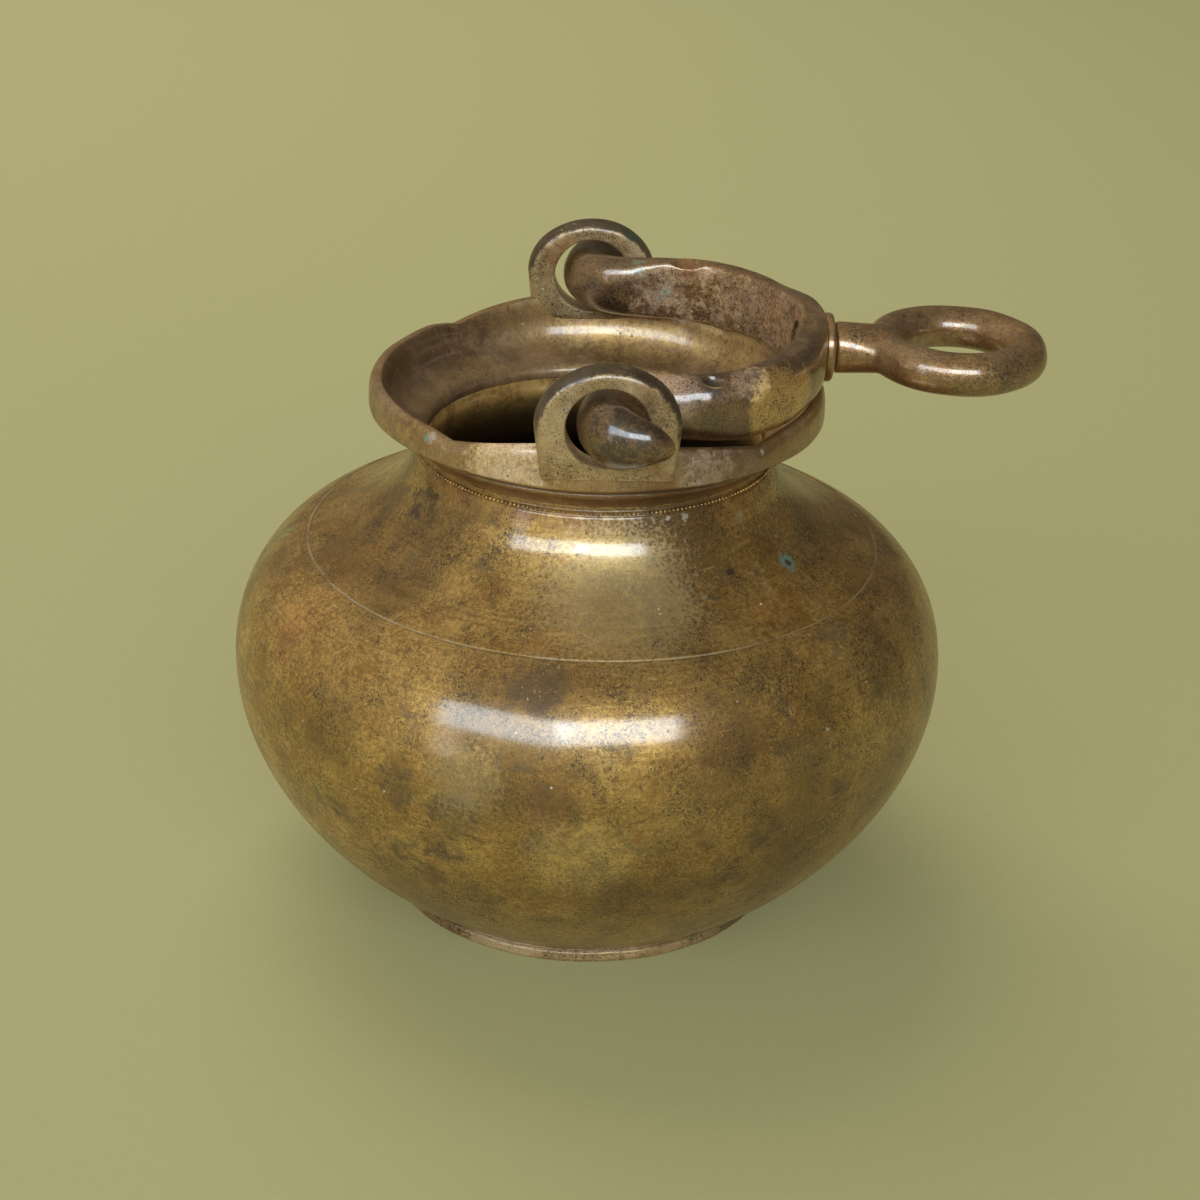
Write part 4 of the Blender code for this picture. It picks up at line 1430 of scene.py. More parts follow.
@dataclass
class Mouth:
    """Cast rim with its raised lugs, and the two pierced ears."""

    pivot_z: float
    bead_r: float = 37.3
    throat_r: float = 34.9
    foot_z: float = 101.5
    throat_h: float = 2.2
    fillet: Point = (40.8, 104.9)
    fillet_h: float = 1.2
    undercut: Point = (41.3, 107.3)
    rim_r: float = 46.9
    edge_z: float = 109.5
    lip_r: float = 44.2
    lip_z: float = 115.0
    roll: float = 1.2
    lug_rise: float = 2.0
    lug_dip: float = 1.2
    lug_flat: float = 17.0
    lug_end: float = 41.0
    dip_end: float = 51.0
    ear_front: float = 48.5
    ear_t: float = 6.0
    ear_w: float = 13.9
    ear_h: float = 11.8
    ear_taper: float = 1.3
    ear_edge: float = 2.0
    ear_foot: float = 10.7
    foot_sink: float = 1.4
    sink_from: float = 6.5
    hole_r: float = 8.1
    hole_gap: float = 0.3
    hole_edge: float = 0.25
    soot: float = 1.12
    steps: int = 360
    cup_spans: int = 9
    ear_steps: int = 180
    ear_rows: int = 8
    rim_dents: Dents = Dents(0.10, 9.0, 4.0)
    front_dents: Dents = Dents(0.12, 7.0, 4.0)
    back_dents: Dents = Dents(0.12, 7.0, 6.0)

    def lip_rise(self, angle: float) -> float:
        """Find how far the lip stands over its plain level.

        Args:
            angle: Direction round the axis in radians.

        Returns:
            Rise in millimetres, below 0 in the dips beside the lugs.
        """
        off_ear = math.degrees(math.asin(min(1.0, abs(math.cos(angle)))))
        if off_ear < self.lug_end:
            fall = max(0.0, off_ear - self.lug_flat) / (self.lug_end - self.lug_flat)
            return self.lug_rise - (self.lug_rise + self.lug_dip) * fall ** 1.2
        climb = min(1.0, (off_ear - self.lug_end) / (self.dip_end - self.lug_end))
        return -self.lug_dip * (1.0 - climb) ** 1.5

    def section(self, angle: float) -> np.ndarray:
        """Draw the rim's section.

        Args:
            angle: Direction round the axis in radians.

        Returns:
            Rounded points of (radius, height).
        """
        rise = self.lip_rise(angle)
        lip = self.lip_z + rise
        crest = self.rim_r - self.roll * 0.75
        waist = self.bead_r - 0.5
        rim, edge, throat = self.rim_r, self.edge_z, self.throat_r
        under_r, under_z = self.undercut
        fillet_r, fillet_z = self.fillet
        funnel = self.foot_z + self.throat_h
        scotia = fillet_z - self.foot_z
        low = (throat + 1.4, funnel + 0.75)
        high = (self.lip_r - 0.7, self.lip_z - 2.0 + rise * 0.6)
        cup = bezier(low, (low[0] + 4.7, low[1] + 2.1), (high[0] - 0.5, high[1] - 4.8), high, self.cup_spans)
        points = np.array((
            (self.lip_r, lip - 0.15), (self.lip_r + 0.35, lip), (self.lip_r + 0.9, lip + 0.02),
            (crest, lip - 0.15), (rim - self.roll * 0.2, lip - self.roll), (rim, (lip + edge) / 2),
            (rim, edge + 0.5), (rim, edge), (rim - 0.3, edge - 0.35), (rim - 0.8, edge - 0.6),
            ((rim + fillet_r) / 2, edge - 1.85), (under_r, under_z), (under_r + 0.1, under_z - 0.4),
            (fillet_r - 0.3, fillet_z + self.fillet_h), (fillet_r, fillet_z + self.fillet_h * 0.75),
            (fillet_r, fillet_z + self.fillet_h * 0.4), (fillet_r - 0.3, fillet_z),
            (waist + 1.7, fillet_z - scotia * 0.24), (waist + 0.65, fillet_z - scotia * 0.55),
            (waist, self.foot_z + scotia * 0.12), (waist, self.foot_z), (throat, self.foot_z),
            (throat, funnel - 1.7), (throat + 0.1, funnel - 0.8), (throat + 0.5, funnel),
            *cup, (self.lip_r - 0.35, self.lip_z - 0.9 + rise * 0.9),
        ))
        return round_off(points, 2, True)

    def build_rim(self, metal: bpy.types.Material) -> bpy.types.Object:
        """Loft the rim round the axis.

        Args:
            metal: Material of the piece.

        Returns:
            The rim.
        """
        rows = []
        for i in range(self.steps):
            angle = math.tau * i / self.steps
            reach, height = self.section(angle).T
            rows.append(np.stack((reach * math.cos(angle), reach * math.sin(angle), height), 1))
        rim = skin("cast_rim", np.array(rows), True)
        hammer(rim, self.rim_dents)
        self._clear_holes(rim)
        rim.data.materials.append(metal)
        self._dress_rim(rim)
        mark_relief(rim)
        return rim

    def _dress_rim(self, rim: bpy.types.Object) -> None:
        """Store painted shade deeper in the cup, painted light on its lit side and painted shade on its
        other side, painted shade with grime under the rim, and the rim's stains.

        Args:
            rim: Lofted rim.
        """
        places = read_places(rim.data)
        inward = facing_in(places, read_normals(rim.data))
        depth = np.clip((self.lip_z - 1.0 - places[:, 2]) / 9.0, 0.0, 1.0)
        # Painted shade: the cup is marked to darken further down towards the throat.
        store(rim.data, "inside", np.clip(inward * 2.0, 0.0, 1.0) * 0.25 * depth ** 2)
        cup = np.clip(inward * 1.5, 0.0, 1.0)
        # Painted light and shade: gold on the cup's lit side, smoke on its other side.
        lit = np.clip(places[:, 0] / 28.0 + 1.0, 0.0, 1.0)
        # Painted shade with grime under the rim's lower edge, laid as Patina.UMBER.
        below = np.clip((self.undercut[1] - places[:, 2]) / 2.0, 0.0, 1.0) * (1.0 - cup)
        stain(rim, RIM_STAINS, {
            Patina.GOLD: cup * lit * 0.7, Patina.SMOKE: cup * (1.0 - lit) * 0.9,
            Patina.UMBER: below * 0.8,
        })

    def _clear_holes(self, rim: bpy.types.Object) -> None:
        """Lower the lip under the hole of each ear, where the bail runs through.

        Args:
            rim: Lofted rim.
        """
        places = read_places(rim.data)
        drop = np.sqrt(np.maximum(self.hole_r ** 2 - places[:, 0] ** 2, 0.0))
        floor = self.pivot_z - drop - self.hole_gap
        bored = (drop > 0.0) & (places[:, 2] > floor)
        places[bored, 2] = floor[bored]
        write_places(rim.data, places)

    def _reach(self, turn: float) -> float:
        """Find the distance from the hole's middle to the ear's outline.

        Args:
            turn: Direction round the hole in radians, 0 along X and a quarter turn upwards.

        Returns:
            Distance in millimetres.
        """
        across, up = math.cos(turn), math.sin(turn)
        if up >= 0.0:
            return 1.0 / math.hypot(across / self.ear_w, up / self.ear_h)
        lean = self.ear_taper / self.ear_foot
        side = self.ear_w / max(MERGE, abs(across) - lean * up)
        foot = self.ear_foot / max(MERGE, -up)
        return min(side, foot)

    def _ear_section(self, turn: float) -> np.ndarray:
        """Draw the ear's section from its hole to its outline.

        Args:
            turn: Direction round the hole in radians.

        Returns:
            Points of (distance from the hole's middle, offset from the plate's middle).
        """
        half, edge, inn, out = self.ear_t / 2, self.ear_edge, self.hole_r, self._reach(turn)
        flat = np.linspace(inn + self.hole_edge, out - edge, self.ear_rows)
        bend = np.radians(np.linspace(90.0, 0.0, self.ear_rows)[1:])
        front = np.stack((flat, np.full(self.ear_rows, half)), 1)
        nose = np.stack((out - edge + edge * np.cos(bend), half - edge + edge * np.sin(bend)), 1)
        outer = np.vstack((front, nose))
        back = outer[::-1] * (1.0, -1.0)
        wall = np.array(((inn, -half + self.hole_edge), (inn, 0.0), (inn, half - self.hole_edge)))
        return np.vstack((outer, back, wall))

    def build_ear(self, name: str, side: int, metal: bpy.types.Material) -> bpy.types.Object:
        """Skin an arched plate round its hole.

        Args:
            name: Piece name.
            side: -1 for the front ear, 1 for the back one.
            metal: Material of the piece.

        Returns:
            The ear.
        """
        middle = self.ear_front - self.ear_t / 2
        rows = []
        for i in range(self.ear_steps):
            turn = math.tau * i / self.ear_steps
            reach, off = self._ear_section(turn).T
            rows.append(np.stack((
                reach * math.cos(turn), side * (middle + off), self.pivot_z + reach * math.sin(turn),
            ), 1))
        ear = skin(name, np.array(rows), True)
        places = read_places(ear.data)
        low = self.pivot_z - self.sink_from - places[:, 2]
        sunk = np.clip(low / (self.ear_foot - self.sink_from), 0.0, 1.0)
        places[:, 1] = side * np.minimum(side * places[:, 1], self.ear_front - self.foot_sink * sunk)
        write_places(ear.data, places)
        hammer(ear, self.front_dents if side < 0 else self.back_dents)
        ear.data.materials.append(metal)
        self._dress_ear(ear)
        mark_relief(ear, 4)
        return ear

    def _dress_ear(self, ear: bpy.types.Object) -> None:
        """Store the ear's stains, with soot round its upper edge.

        Args:
            ear: Skinned ear.
        """
        off = read_places(ear.data)[:, [0, 2]] - (0.0, self.pivot_z)
        limit = np.array([self._reach(math.atan2(z, x)) for x, z in off])
        edge = np.clip((np.hypot(*off.T) - limit + self.ear_edge * 0.9) / (self.ear_edge * 0.7), 0.0, 1.0)
        high = np.clip((off[:, 1] + 7.0) / 10.0, 0.0, 1.0)
        stain(ear, EAR_STAINS, {Patina.SOOT: edge * high * self.soot})


@dataclass(frozen=True)
class Station:
    """One place on the bail's path, in the plan of the rim.

    It has a direction, a share from bar to strap outside, a share of flatness inside, the swell of the
    crown, the size of the section against the full one, and a drop below the pivot's height.
    """

    x: float
    y: float
    dir_x: float
    dir_y: float
    share: float = 0.0
    flat: float = 0.0
    swell: float = 0.0
    size: float = 1.0
    drop: float = 0.0


@dataclass
class Carrier:
    """Bail handle, swivel collar, rivet washer and finger ring."""

    pivot_z: float
    bail_h: float = 13.6
    bail_t: float = 6.2
    bar_w: float = 5.0
    bar_h: float = 6.2
    bar_set: float = 1.1
    arm_y: float = 36.2
    hook_y: float = 54.8
    crown_r: float = 43.4
    crown_deg: float = 47.0
    crown_rise: float = 1.8
    crown_square: float = 0.4
    strap_square: Point = (0.28, 0.36)
    rise_deg: float = 30.0
    finial_l: float = 3.8
    finial_drop: float = 0.7
    nose_l: float = 11.0
    facet_drop: float = 1.6
    facet_in: float = 0.8
    flaw_x: float = 20.5
    flaw_depth: float = 2.4
    near_flaw: Place = (-37.4, 2.9, 1.7)
    far_flaw: Place = (33.4, 4.8, 2.0)
    tenon_r: float = 3.2
    collar_r: float = 7.0
    collar_x: float = 47.8
    collar_back: float = 44.0
    washer_r: float = 5.0
    washer_x: float = 42.7
    washer_t: float = 1.2
    head_x: float = 41.2
    head_r: float = 4.4
    head_t: float = 0.9
    shank_x: float = 48.1
    shank_r: float = 5.3
    ring_x: float = 73.3
    ring_mid: float = 14.5
    ring_bar: float = 4.4
    gap: float = 0.3
    pole_r: float = 0.01
    dust_x: float = 8.0
    dust: float = 0.74
    around: int = 88
    nose_rows: int = 16
    bend_rows: int = 48
    arm_rows: int = 64
    crown_rows: int = 48
    strap_from: int = 24
    strap_rows: int = 44
    facets: int = 96
    shank_rows: int = 16
    shank_facets: int = 48
    bar_facets: int = 32
    voxel: float = 0.34
    ease_rounds: int = 14
    sharp_deg: float = 50.0
    bail_dents: Dents = Dents(0.14, 8.0, 1.0)
    bail_grain: Dents = Dents(0.04, 2.2, 6.0)
    collar_dents: Dents = Dents(0.06, 3.0, 9.0)
    ring_dents: Dents = Dents(0.12, 7.0, 12.0)

    def _nose(self, back: float) -> float:
        """Size of the bar's section at a distance back from its pointed end."""
        share = min(1.0, back / self.nose_l)
        return share ** 0.5 * (1.0 - 0.04 * smooth_step(share * 1.2) * (1.0 - share))

    def _hook(self) -> list[Station]:
        """Lay the finial and the bend that leads from it through the ear.

        Returns:
            Stations from the point to the arm's start.
        """
        bend_r, bend_y = (self.hook_y - self.arm_y) / 2, (self.hook_y + self.arm_y) / 2
        bend_x = bend_r - self.bar_set
        rows = []
        for i in range(self.nose_rows):
            forward = math.cos(math.pi / 2 * i / self.nose_rows)
            rows.append(Station(
                bend_x + self.finial_l * forward, self.hook_y, -1.0, 0.0,
                size=self._nose(self.finial_l * (1.0 - forward)), drop=-self.finial_drop * forward,
            ))
        for i in range(self.bend_rows):
            turn = math.pi * i / (self.bend_rows - 1)
            rows.append(Station(
                bend_x - bend_r * math.sin(turn), bend_y + bend_r * math.cos(turn),
                -math.cos(turn), -math.sin(turn), flat=smooth_step((i - self.strap_from) / self.strap_rows),
                size=self._nose(self.finial_l + bend_r * turn),
            ))
        return rows

    def _arm(self, start: np.ndarray) -> list[Station]:
        """Lay the arm from the bend to the crown and the crown up to its middle.

        Args:
            start: Plan point where the bend ends.

        Returns:
            Stations after that point.
        """
        crown = math.radians(self.crown_deg)
        end = np.array((math.cos(crown), math.sin(crown))) * self.crown_r
        back = np.array((-math.sin(crown), math.cos(crown)))
        reach = np.linalg.norm(end - start) / 3
        arm = bezier(start, start + (reach, 0.0), end + back * reach, end, self.arm_rows)
        lean = np.gradient(arm, axis=0)
        lean /= np.linalg.norm(lean, axis=1)[:, None]
        passed = self.bend_rows - 1 - self.strap_from
        rows = []
        for i in range(1, self.arm_rows + 1):
            flat = smooth_step((i + passed) / self.strap_rows)
            rows.append(Station(*arm[i], *lean[i], smooth_step(i / self.arm_rows), flat))
        for i in range(1, self.crown_rows + 1):
            turn = crown * (1.0 - i / self.crown_rows)
            rows.append(Station(
                self.crown_r * math.cos(turn), self.crown_r * math.sin(turn), math.sin(turn),
                -math.cos(turn), 1.0, 1.0, smooth_step(1.0 - math.degrees(turn) / self.rise_deg),
            ))
        return rows

    def _bar_section(self, at: Station) -> np.ndarray:
        """Draw the bail's section.

        Args:
            at: Station on its path.

        Returns:
            Points of (inward, up) in millimetres.
        """
        turn = math.tau * np.arange(self.around) / self.around
        across, up = np.cos(turn), np.sin(turn)
        full = 1.0 - self.crown_square * at.swell
        inner = across > 0.01
        part = np.where(inner, at.flat, at.share)
        wide, high = (np.where(inner, square, full) for square in self.strap_square)
        strap_n = np.sign(across) * np.abs(across) ** wide * self.bail_t / 2
        strap_z = np.sign(up) * np.abs(up) ** high
        tall = self.bar_h + (self.bail_h / 2 - self.bar_h) * at.share
        n = self.bar_w * across * (1.0 - part) + strap_n * part
        z = tall * (up * (1.0 - part) + strap_z * part)
        z = np.where(up > 0.0, z * (1.0 + at.swell * self.crown_rise / tall), z)
        return np.stack((n, z), 1) * at.size

    def build_bail(self, lathe: Lathe, metal: bpy.types.Material) -> bpy.types.Object:
        """Loft the bail, sink its casting flaws and its worn facet, and bore it for the swivel.

        Args:
            lathe: Tree that turns the bore's cutter.
            metal: Material of the piece.

        Returns:
            The bail.
        """
        hook = self._hook()
        half = []
        for at in hook + self._arm(np.array((hook[-1].x, self.arm_y))):
            inward, up = self._bar_section(at).T
            half.append(np.stack((
                at.x + at.dir_y * inward, -(at.y - at.dir_x * inward), self.pivot_z + at.drop + up,
            ), 1))
        other = [ring * (1.0, -1.0, 1.0) for ring in reversed(half[:-1])]
        bail = skin("bail_bar", np.array(half + other), False)
        write_places(bail.data, self._wear_facet(self._sink_flaws(read_places(bail.data))))
        hammer(bail, self.bail_dents)
        hammer(bail, self.bail_grain)
        self._bore_swivel(bail, lathe, metal)
        places = read_places(bail.data)
        inward = np.clip(facing_in(places, read_normals(bail.data)), 0.0, 1.0)
        stain(bail, HANDLE_STAINS_AND_SHEEN, {Patina.DUST: inward * (places[:, 0] > self.dust_x) * self.dust})
        mark_relief(bail, 2)
        return bail

    def _bore_swivel(self, bail: bpy.types.Object, lathe: Lathe, metal: bpy.types.Material) -> None:
        """Cut the tenon's bore and the washer's round seat into the crown.

        Args:
            bail: Lofted bail.
            lathe: Tree that turns the cutter.
            metal: Material of the piece.
        """
        near, far = self.crown_r - self.bail_t, self.crown_r + self.bail_t
        seat_r, bore_r, seat_x = (size + self.gap for size in (self.washer_r, self.tenon_r, self.washer_x))
        outline = np.array((
            (0.0, near), (seat_r, near), (seat_r, seat_x), (bore_r, seat_x), (bore_r, far), (0.0, far),
        ))
        cutter = lathe.turn("swivel_bore", outline, self.facets, metal)
        self._along_x(cutter)
        bail.data.materials.append(metal)
        cut = bail.modifiers.new("Bore", "BOOLEAN")
        cut.operation = "DIFFERENCE"
        cut.solver = "EXACT"
        cut.object = cutter
        bake(bail)
        bpy.data.objects.remove(cutter, do_unlink=True)
        bail.data.set_sharp_from_angle(angle=math.radians(self.sharp_deg))

    def _sink_flaws(self, places: np.ndarray) -> np.ndarray:
        """Lower the metal inside each flaw's ellipsoid to its floor.

        Args:
            places: Points of the bail.

        Returns:
            The points with both flaws sunk.
        """
        top = self.pivot_z + self.bar_h + self.flaw_depth * 0.5
        for middle, long, wide in (self.near_flaw, self.far_flaw):
            dx = (places[:, 0] - self.flaw_x) / long
            dy = (places[:, 1] - middle) / wide
            inside = 1.0 - dx * dx - dy * dy
            floor = top - self.flaw_depth * np.sqrt(np.maximum(inside, 0.0))
            sunk = (inside > 0.0) & (places[:, 2] > floor)
            places[sunk, 2] = floor[sunk]
        return places

    def _wear_facet(self, places: np.ndarray) -> np.ndarray:
        """Lay the crown's top on the plane that wear has given it.

        Args:
            places: Points of the bail.

        Returns:
            The points with none above the facet.
        """
        inner = self.crown_r - self.bail_t / 2
        lean = math.atan2(self.facet_drop, self.bail_t)
        top = self.pivot_z + self.bail_h / 2 + self.crown_rise
        normal = np.array((math.sin(lean), 0.0, math.cos(lean)))
        over = (places - (inner + self.facet_in, 0.0, top)) @ normal
        near = (np.abs(places[:, 1]) < 2 * self.bail_h) & (places[:, 0] > inner - self.bail_h)
        over = np.where(near, np.maximum(over, 0.0), 0.0)
        return places - over[:, None] * normal

    def _along_x(self, thing: bpy.types.Object) -> None:
        """Lay a piece that was turned about Z along +X at the pivot's height.

        Args:
            thing: Turned piece.
        """
        lift = Matrix.Translation((0.0, 0.0, self.pivot_z * MM))
        thing.data.transform(lift @ Matrix.Rotation(math.pi / 2, 4, "Y"))
        thing.data.update()

    def build_collar(self, lathe: Lathe, metal: bpy.types.Material) -> bpy.types.Object:
        """Turn the collar between crown and shank.

        Args:
            lathe: Tree that turns profiles.
            metal: Material of the piece.

        Returns:
            The collar.
        """
        bore, rim, face = self.tenon_r + self.gap, self.collar_r, self.collar_x
        outline = round_off(np.array((
            (bore, face), (rim - 0.8, face), (rim - 0.3, face - 0.1), (rim, face - 0.5), (rim, face - 1.6),
            (rim - 0.35, face - 1.9), (rim - 0.3, self.collar_back), (bore, self.collar_back),
        )), 2, True)
        collar = lathe.turn("swivel_collar_ring", outline, self.facets, metal)
        self._along_x(collar)
        hammer(collar, self.collar_dents)
        mark_relief(collar)
        return collar

    def build_washer(self, lathe: Lathe, metal: bpy.types.Material) -> bpy.types.Object:
        """Turn the washer in the crown's seat.

        Args:
            lathe: Tree that turns profiles.
            metal: Material of the piece.

        Returns:
            The washer.
        """
        bore, rim, face = self.tenon_r + self.gap, self.washer_r, self.washer_x
        back = face - self.washer_t
        outline = round_off(np.array((
            (bore, face), (rim, face), (rim, back + 0.4), (rim - 0.35, back), (bore, back),
        )), 2, True)
        washer = lathe.turn("rivet_washer_disc", outline, self.facets, metal)
        self._along_x(washer)
        mark_relief(washer)
        return washer

    def _shank_rings(self) -> np.ndarray:
        """Lay rings along the rivet head, tenon and shank.

        Returns:
            Rows of points from the head to the ring's root.
        """
        head, head_r, tenon, start = self.head_x - self.head_t, self.head_r, self.tenon_r, self.shank_x
        round_rows = ((head, self.pole_r), (head, head_r * 0.6), (head + 0.2, head_r * 0.88),
                      (head + 0.5, head_r), (self.head_x, head_r), (self.head_x, tenon), (start, tenon),
                      (start, self.shank_r - 0.4))
        rows = [(x, r, r) for x, r in round_rows]
        root = self.ring_x - self.ring_mid + self.ring_bar * 0.35
        for i in range(self.shank_rows + 1):
            t = i / self.shank_rows
            x = start + 0.4 + (root - start - 0.4) * t
            wide = self.shank_r + (self.ring_mid * 0.87 - self.shank_r) * t ** 2.6
            tall = self.shank_r + (self.ring_bar * 0.88 - self.shank_r) * t ** 1.5
            rows.append((x, wide, tall))
        rows.append((root, self.pole_r, self.pole_r))
        count = self.shank_facets
        turn = math.tau * np.arange(count) / count
        return np.array([
            np.stack((np.full(count, x), w * np.cos(turn), self.pivot_z + h * np.sin(turn)), 1)
            for x, w, h in rows
        ])

    def _hoop_rings(self) -> np.ndarray:
        """Lay rings round the hoop.

        Returns:
            Rows of points, one for each step round it.
        """
        bar = math.tau * np.arange(self.bar_facets) / self.bar_facets
        reach = self.ring_mid + self.ring_bar * np.cos(bar)
        height = self.pivot_z + self.ring_bar * np.sin(bar)
        turns = (math.tau * i / self.facets for i in range(self.facets))
        return np.array([
            np.stack((self.ring_x + reach * math.cos(turn), reach * math.sin(turn), height), 1)
            for turn in turns
        ])

    def build_ring(self, metal: bpy.types.Material) -> bpy.types.Object:
        """Fuse shank and hoop with a smooth root.

        Args:
            metal: Material of the piece.

        Returns:
            The finger ring with its shank.
        """
        ring = skin("finger_ring_bar", self._shank_rings(), False)
        hoop = skin("ring_hoop", self._hoop_rings(), True)
        bm = bmesh.new()
        bm.from_mesh(ring.data)
        bm.from_mesh(hoop.data)
        bm.to_mesh(ring.data)
        bm.free()
        bpy.data.objects.remove(hoop, do_unlink=True)
        fuse = ring.modifiers.new("Fuse", "REMESH")
        fuse.mode = "VOXEL"
        fuse.voxel_size = self.voxel * MM
        ease = ring.modifiers.new("Ease", "SMOOTH")
        ease.factor = 0.5
        ease.iterations = self.ease_rounds
        bake(ring)
        hammer(ring, self.ring_dents)
        ring.data.materials.clear()
        ring.data.materials.append(metal)
        stain(ring, HANDLE_STAINS_AND_SHEEN)
        mark_relief(ring, 3)
        return ring


class Shine(Enum):
    """Surfaces that a light works on."""

    BOTH = "all"
    MIRRORED = "glossy"
    MATT = "diffuse"


@dataclass(frozen=True)
class Panel:
    """A soft rectangular light.

    It hangs at an azimuth and a height in degrees and a distance in metres from the pot's middle, has a
    width and a height in metres, a brightness and a colour, and looks at a point.
    """

    name: str
    azimuth: float
    height: float
    distance: float
    size: Point
    radiance: float
    colour: Colour
    shine: Shine
    aim: Place = POT_MIDDLE


PANELS = (
    Panel("window_left", -27.0, 31.5, 1.5, (1.05, 0.52), 5.3, (0.74, 0.88, 1.0), Shine.BOTH),
    Panel("window_right", 11.5, 33.0, 1.5, (0.94, 0.50), 7.9, (0.77, 0.89, 1.0), Shine.BOTH),
    Panel("left_strip", -42.0, 10.0, 1.5, (0.20, 0.54), 1.7, (1.0, 0.96, 0.88), Shine.MIRRORED),
    Panel("soft_sky", -60.0, 58.0, 1.9, (2.6, 2.4), 0.35, (1.0, 0.99, 0.96), Shine.MATT),
    Panel("back_wash", -150.0, 50.0, 1.5, (1.2, 1.2), 5.0, (1.0, 0.99, 0.99), Shine.MATT,
          (-0.5, 0.7, 0.0)),
)


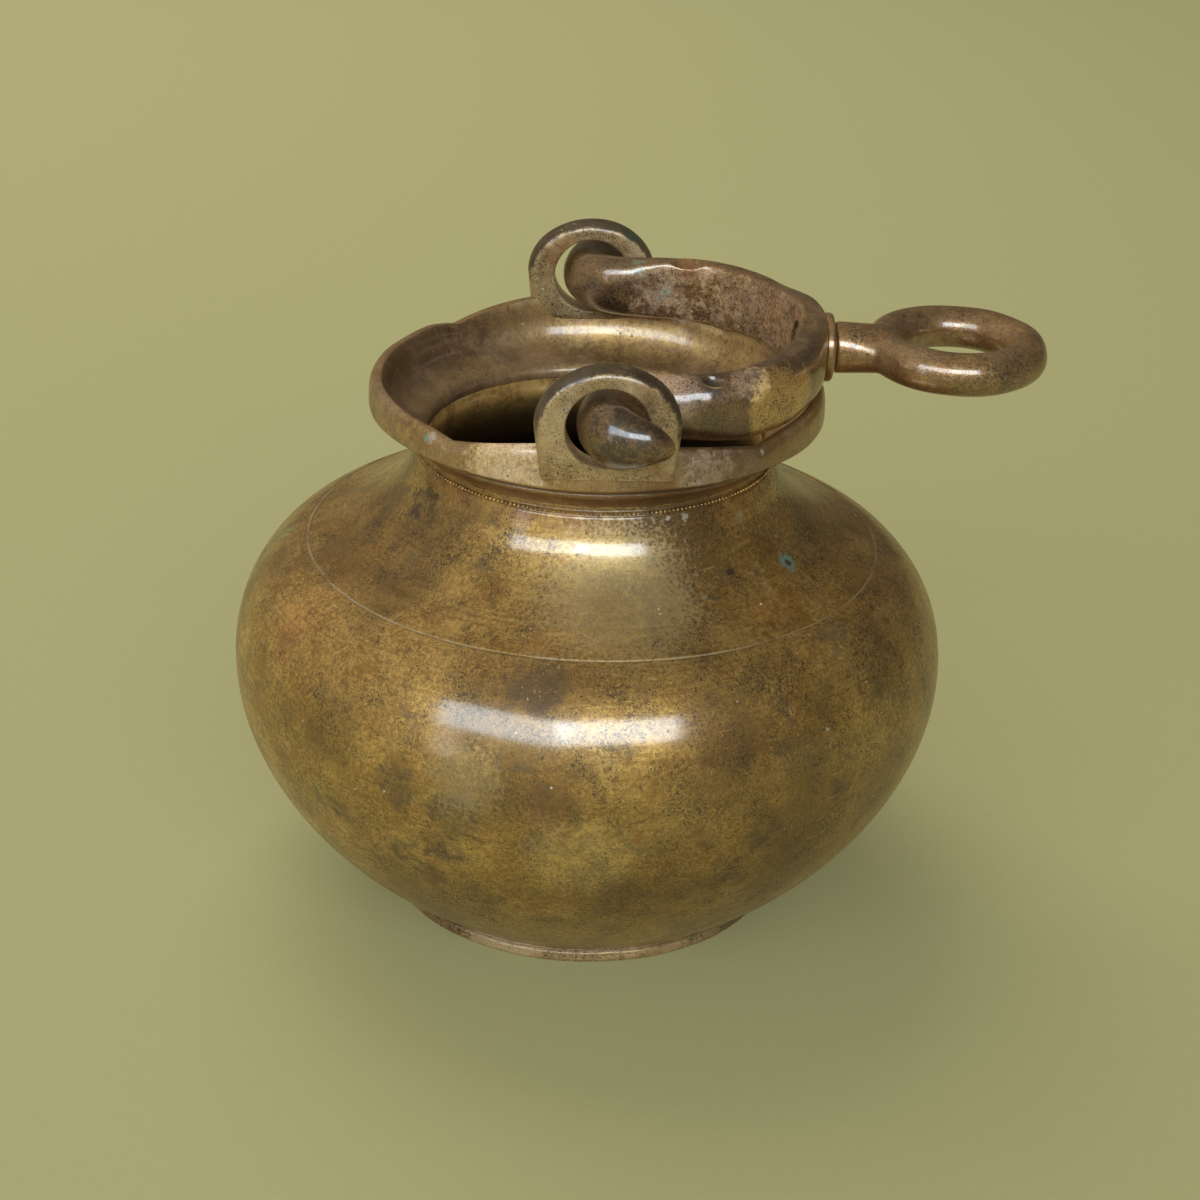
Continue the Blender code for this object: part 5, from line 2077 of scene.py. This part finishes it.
@dataclass
class Studio:
    """Camera, paper floor and soft lights; places in metres, the floor's height in millimetres."""

    camera_place: Place = (-0.02385, -0.48185, 0.29574)
    heading_deg: float = -3.1
    look_down_deg: float = 25.653
    roll_deg: float = 2.238
    lens: float = 75.0
    sensor: float = 36.0
    floor_half: float = 4.0
    floor_z: float = -0.05
    paper: Colour = (0.203, 0.191, 0.088)
    paper_glow: float = 0.58
    paper_grain: Noise = Noise(0.9, 3.0, 0.6, 2.0)
    room: Colour = (0.40, 0.36, 0.25)
    room_left: float = 0.85
    room_right: float = 0.26
    room_lean: Place = (1.0, 0.5, 0.0)
    room_span: Point = (-0.8, 0.9)

    def build_camera(self) -> None:
        """Set up the camera where the photo was taken."""
        lens = bpy.data.cameras.new("photo_camera")
        lens.lens = self.lens
        lens.sensor_width = self.sensor
        camera = bpy.data.objects.new("photo_camera", lens)
        bpy.context.scene.collection.objects.link(camera)
        camera.matrix_world = (
            Matrix.Translation(self.camera_place)
            @ Matrix.Rotation(math.radians(self.heading_deg), 4, "Z")
            @ Matrix.Rotation(math.radians(90.0 - self.look_down_deg), 4, "X")
            @ Matrix.Rotation(math.radians(self.roll_deg), 4, "Z")
        )
        bpy.context.scene.camera = camera

    def build_floor(self) -> None:
        """Lay a sheet of pale olive paper under the pot."""
        h, z = self.floor_half / MM, self.floor_z
        corners = np.array(((-h, -h, z), (h, -h, z), (h, h, z), (-h, h, z)))
        floor = make_object("paper_floor", corners, [(0, 1, 2, 3)])
        paint = Paint("olive_paper")
        grain = paint.cloud(self.paper_grain)
        colour = paint.tint(self.paper, 0.95 + grain * 0.1)
        floor.data.materials.append(paint.finish(
            Base_Color=colour, Roughness=0.85, Normal=paint.bump(grain, 0.03), Specular_IOR_Level=0.2,
            Emission_Color=colour, Emission_Strength=self.paper_glow,
        ))

    def _hang(self, panel: Panel) -> None:
        """Hang a soft light that looks at its point.

        Args:
            panel: Light to hang.
        """
        lamp = bpy.data.lights.new(panel.name, "AREA")
        lamp.shape = "RECTANGLE"
        lamp.size, lamp.size_y = panel.size
        lamp.energy = panel.radiance * math.pi * panel.size[0] * panel.size[1]
        lamp.color = panel.colour
        thing = bpy.data.objects.new(panel.name, lamp)
        bpy.context.scene.collection.objects.link(thing)
        a, e = math.radians(panel.azimuth + self.heading_deg), math.radians(panel.height)
        back = Vector((math.sin(a) * math.cos(e), -math.cos(a) * math.cos(e), math.sin(e)))
        thing.location = Vector(POT_MIDDLE) + back * panel.distance
        thing.rotation_euler = (thing.location - Vector(panel.aim)).to_track_quat("Z", "Y").to_euler()
        thing.visible_diffuse = panel.shine is not Shine.MIRRORED
        thing.visible_glossy = panel.shine is not Shine.MATT

    def build_room(self) -> None:
        """Light the pot from all round, more from its left than from its right."""
        world = bpy.data.worlds.new("room")
        world.use_nodes = True
        walls = NodeTree(world.node_tree)
        ground = world.node_tree.nodes["Background"]
        walls.feed(ground.inputs["Color"], self.room)
        outlook = walls.add("ShaderNodeTexCoord").outputs["Generated"]
        side = walls.add(
            "ShaderNodeVectorMath", {"operation": "DOT_PRODUCT"}, {0: outlook, 1: self.room_lean}
        )
        level = walls.add(
            "ShaderNodeMapRange", {"interpolation_type": "SMOOTHSTEP"},
            {"Value": side.outputs["Value"], "From Min": self.room_span[0], "From Max": self.room_span[1],
             "To Min": self.room_left, "To Max": self.room_right},
        )
        walls.feed(ground.inputs["Strength"], level.outputs["Result"])
        bpy.context.scene.world = world

    def build(self) -> None:
        """Set up everything round the pot."""
        self.build_camera()
        self.build_floor()
        for panel in PANELS:
            self._hang(panel)
        self.build_room()
        bpy.context.scene.view_settings.view_transform = "Standard"


def joint_height(name: str) -> float:
    """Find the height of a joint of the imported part.

    Args:
        name: Joint name.

    Returns:
        Height in millimetres.
    """
    for joint in frame["joints"]:
        if joint["name"] == name:
            return joint["pos_m"][2] / MM
    raise KeyError(name)


def main() -> None:
    """Build every piece in order, dress it and set up the studio."""
    logging.basicConfig(level=logging.INFO, format="%(name)s: %(message)s")
    pivot = joint_height("bail_swing")
    body_metal = BrassPainter(BODY_BRASS, BODY_SPOTS_AND_SHEEN, BODY_GLINT_LINES).build()
    foot_metal = BrassPainter(FOOT_BRASS).build()
    rim_metal = BrassPainter(RIM_BRASS, RIM_SPOTS).build()
    ear_metal = BrassPainter(EAR_BRASS).build()
    handle_metal = BrassPainter(HANDLE_BRASS).build()
    lathe = Lathe()
    vessel = Vessel()
    mouth = Mouth(pivot_z=pivot)
    carrier = Carrier(pivot_z=pivot)
    settle(vessel.build_body(lathe, body_metal), Body.POT, ["pot_body"])
    settle(vessel.build_beads(BeadTree(), body_metal), Body.POT, [])
    settle(vessel.build_foot(lathe, foot_metal), Body.POT, ["foot_plate"])
    settle(mouth.build_rim(rim_metal), Body.POT, ["mouth_rim"])
    settle(mouth.build_ear("front_ear_plate", -1, ear_metal), Body.POT, ["front_ear"])
    settle(mouth.build_ear("back_ear_plate", 1, ear_metal), Body.POT, ["back_ear"])
    settle(carrier.build_bail(lathe, handle_metal), Body.BAIL, ["bail_handle"])
    settle(carrier.build_collar(lathe, handle_metal), Body.BAIL, ["swivel_collar"])
    settle(carrier.build_washer(lathe, handle_metal), Body.BAIL, ["rivet_washer"])
    settle(carrier.build_ring(handle_metal), Body.RING, ["finger_ring"])
    Studio().build()


if __name__ == "__main__":
    main()
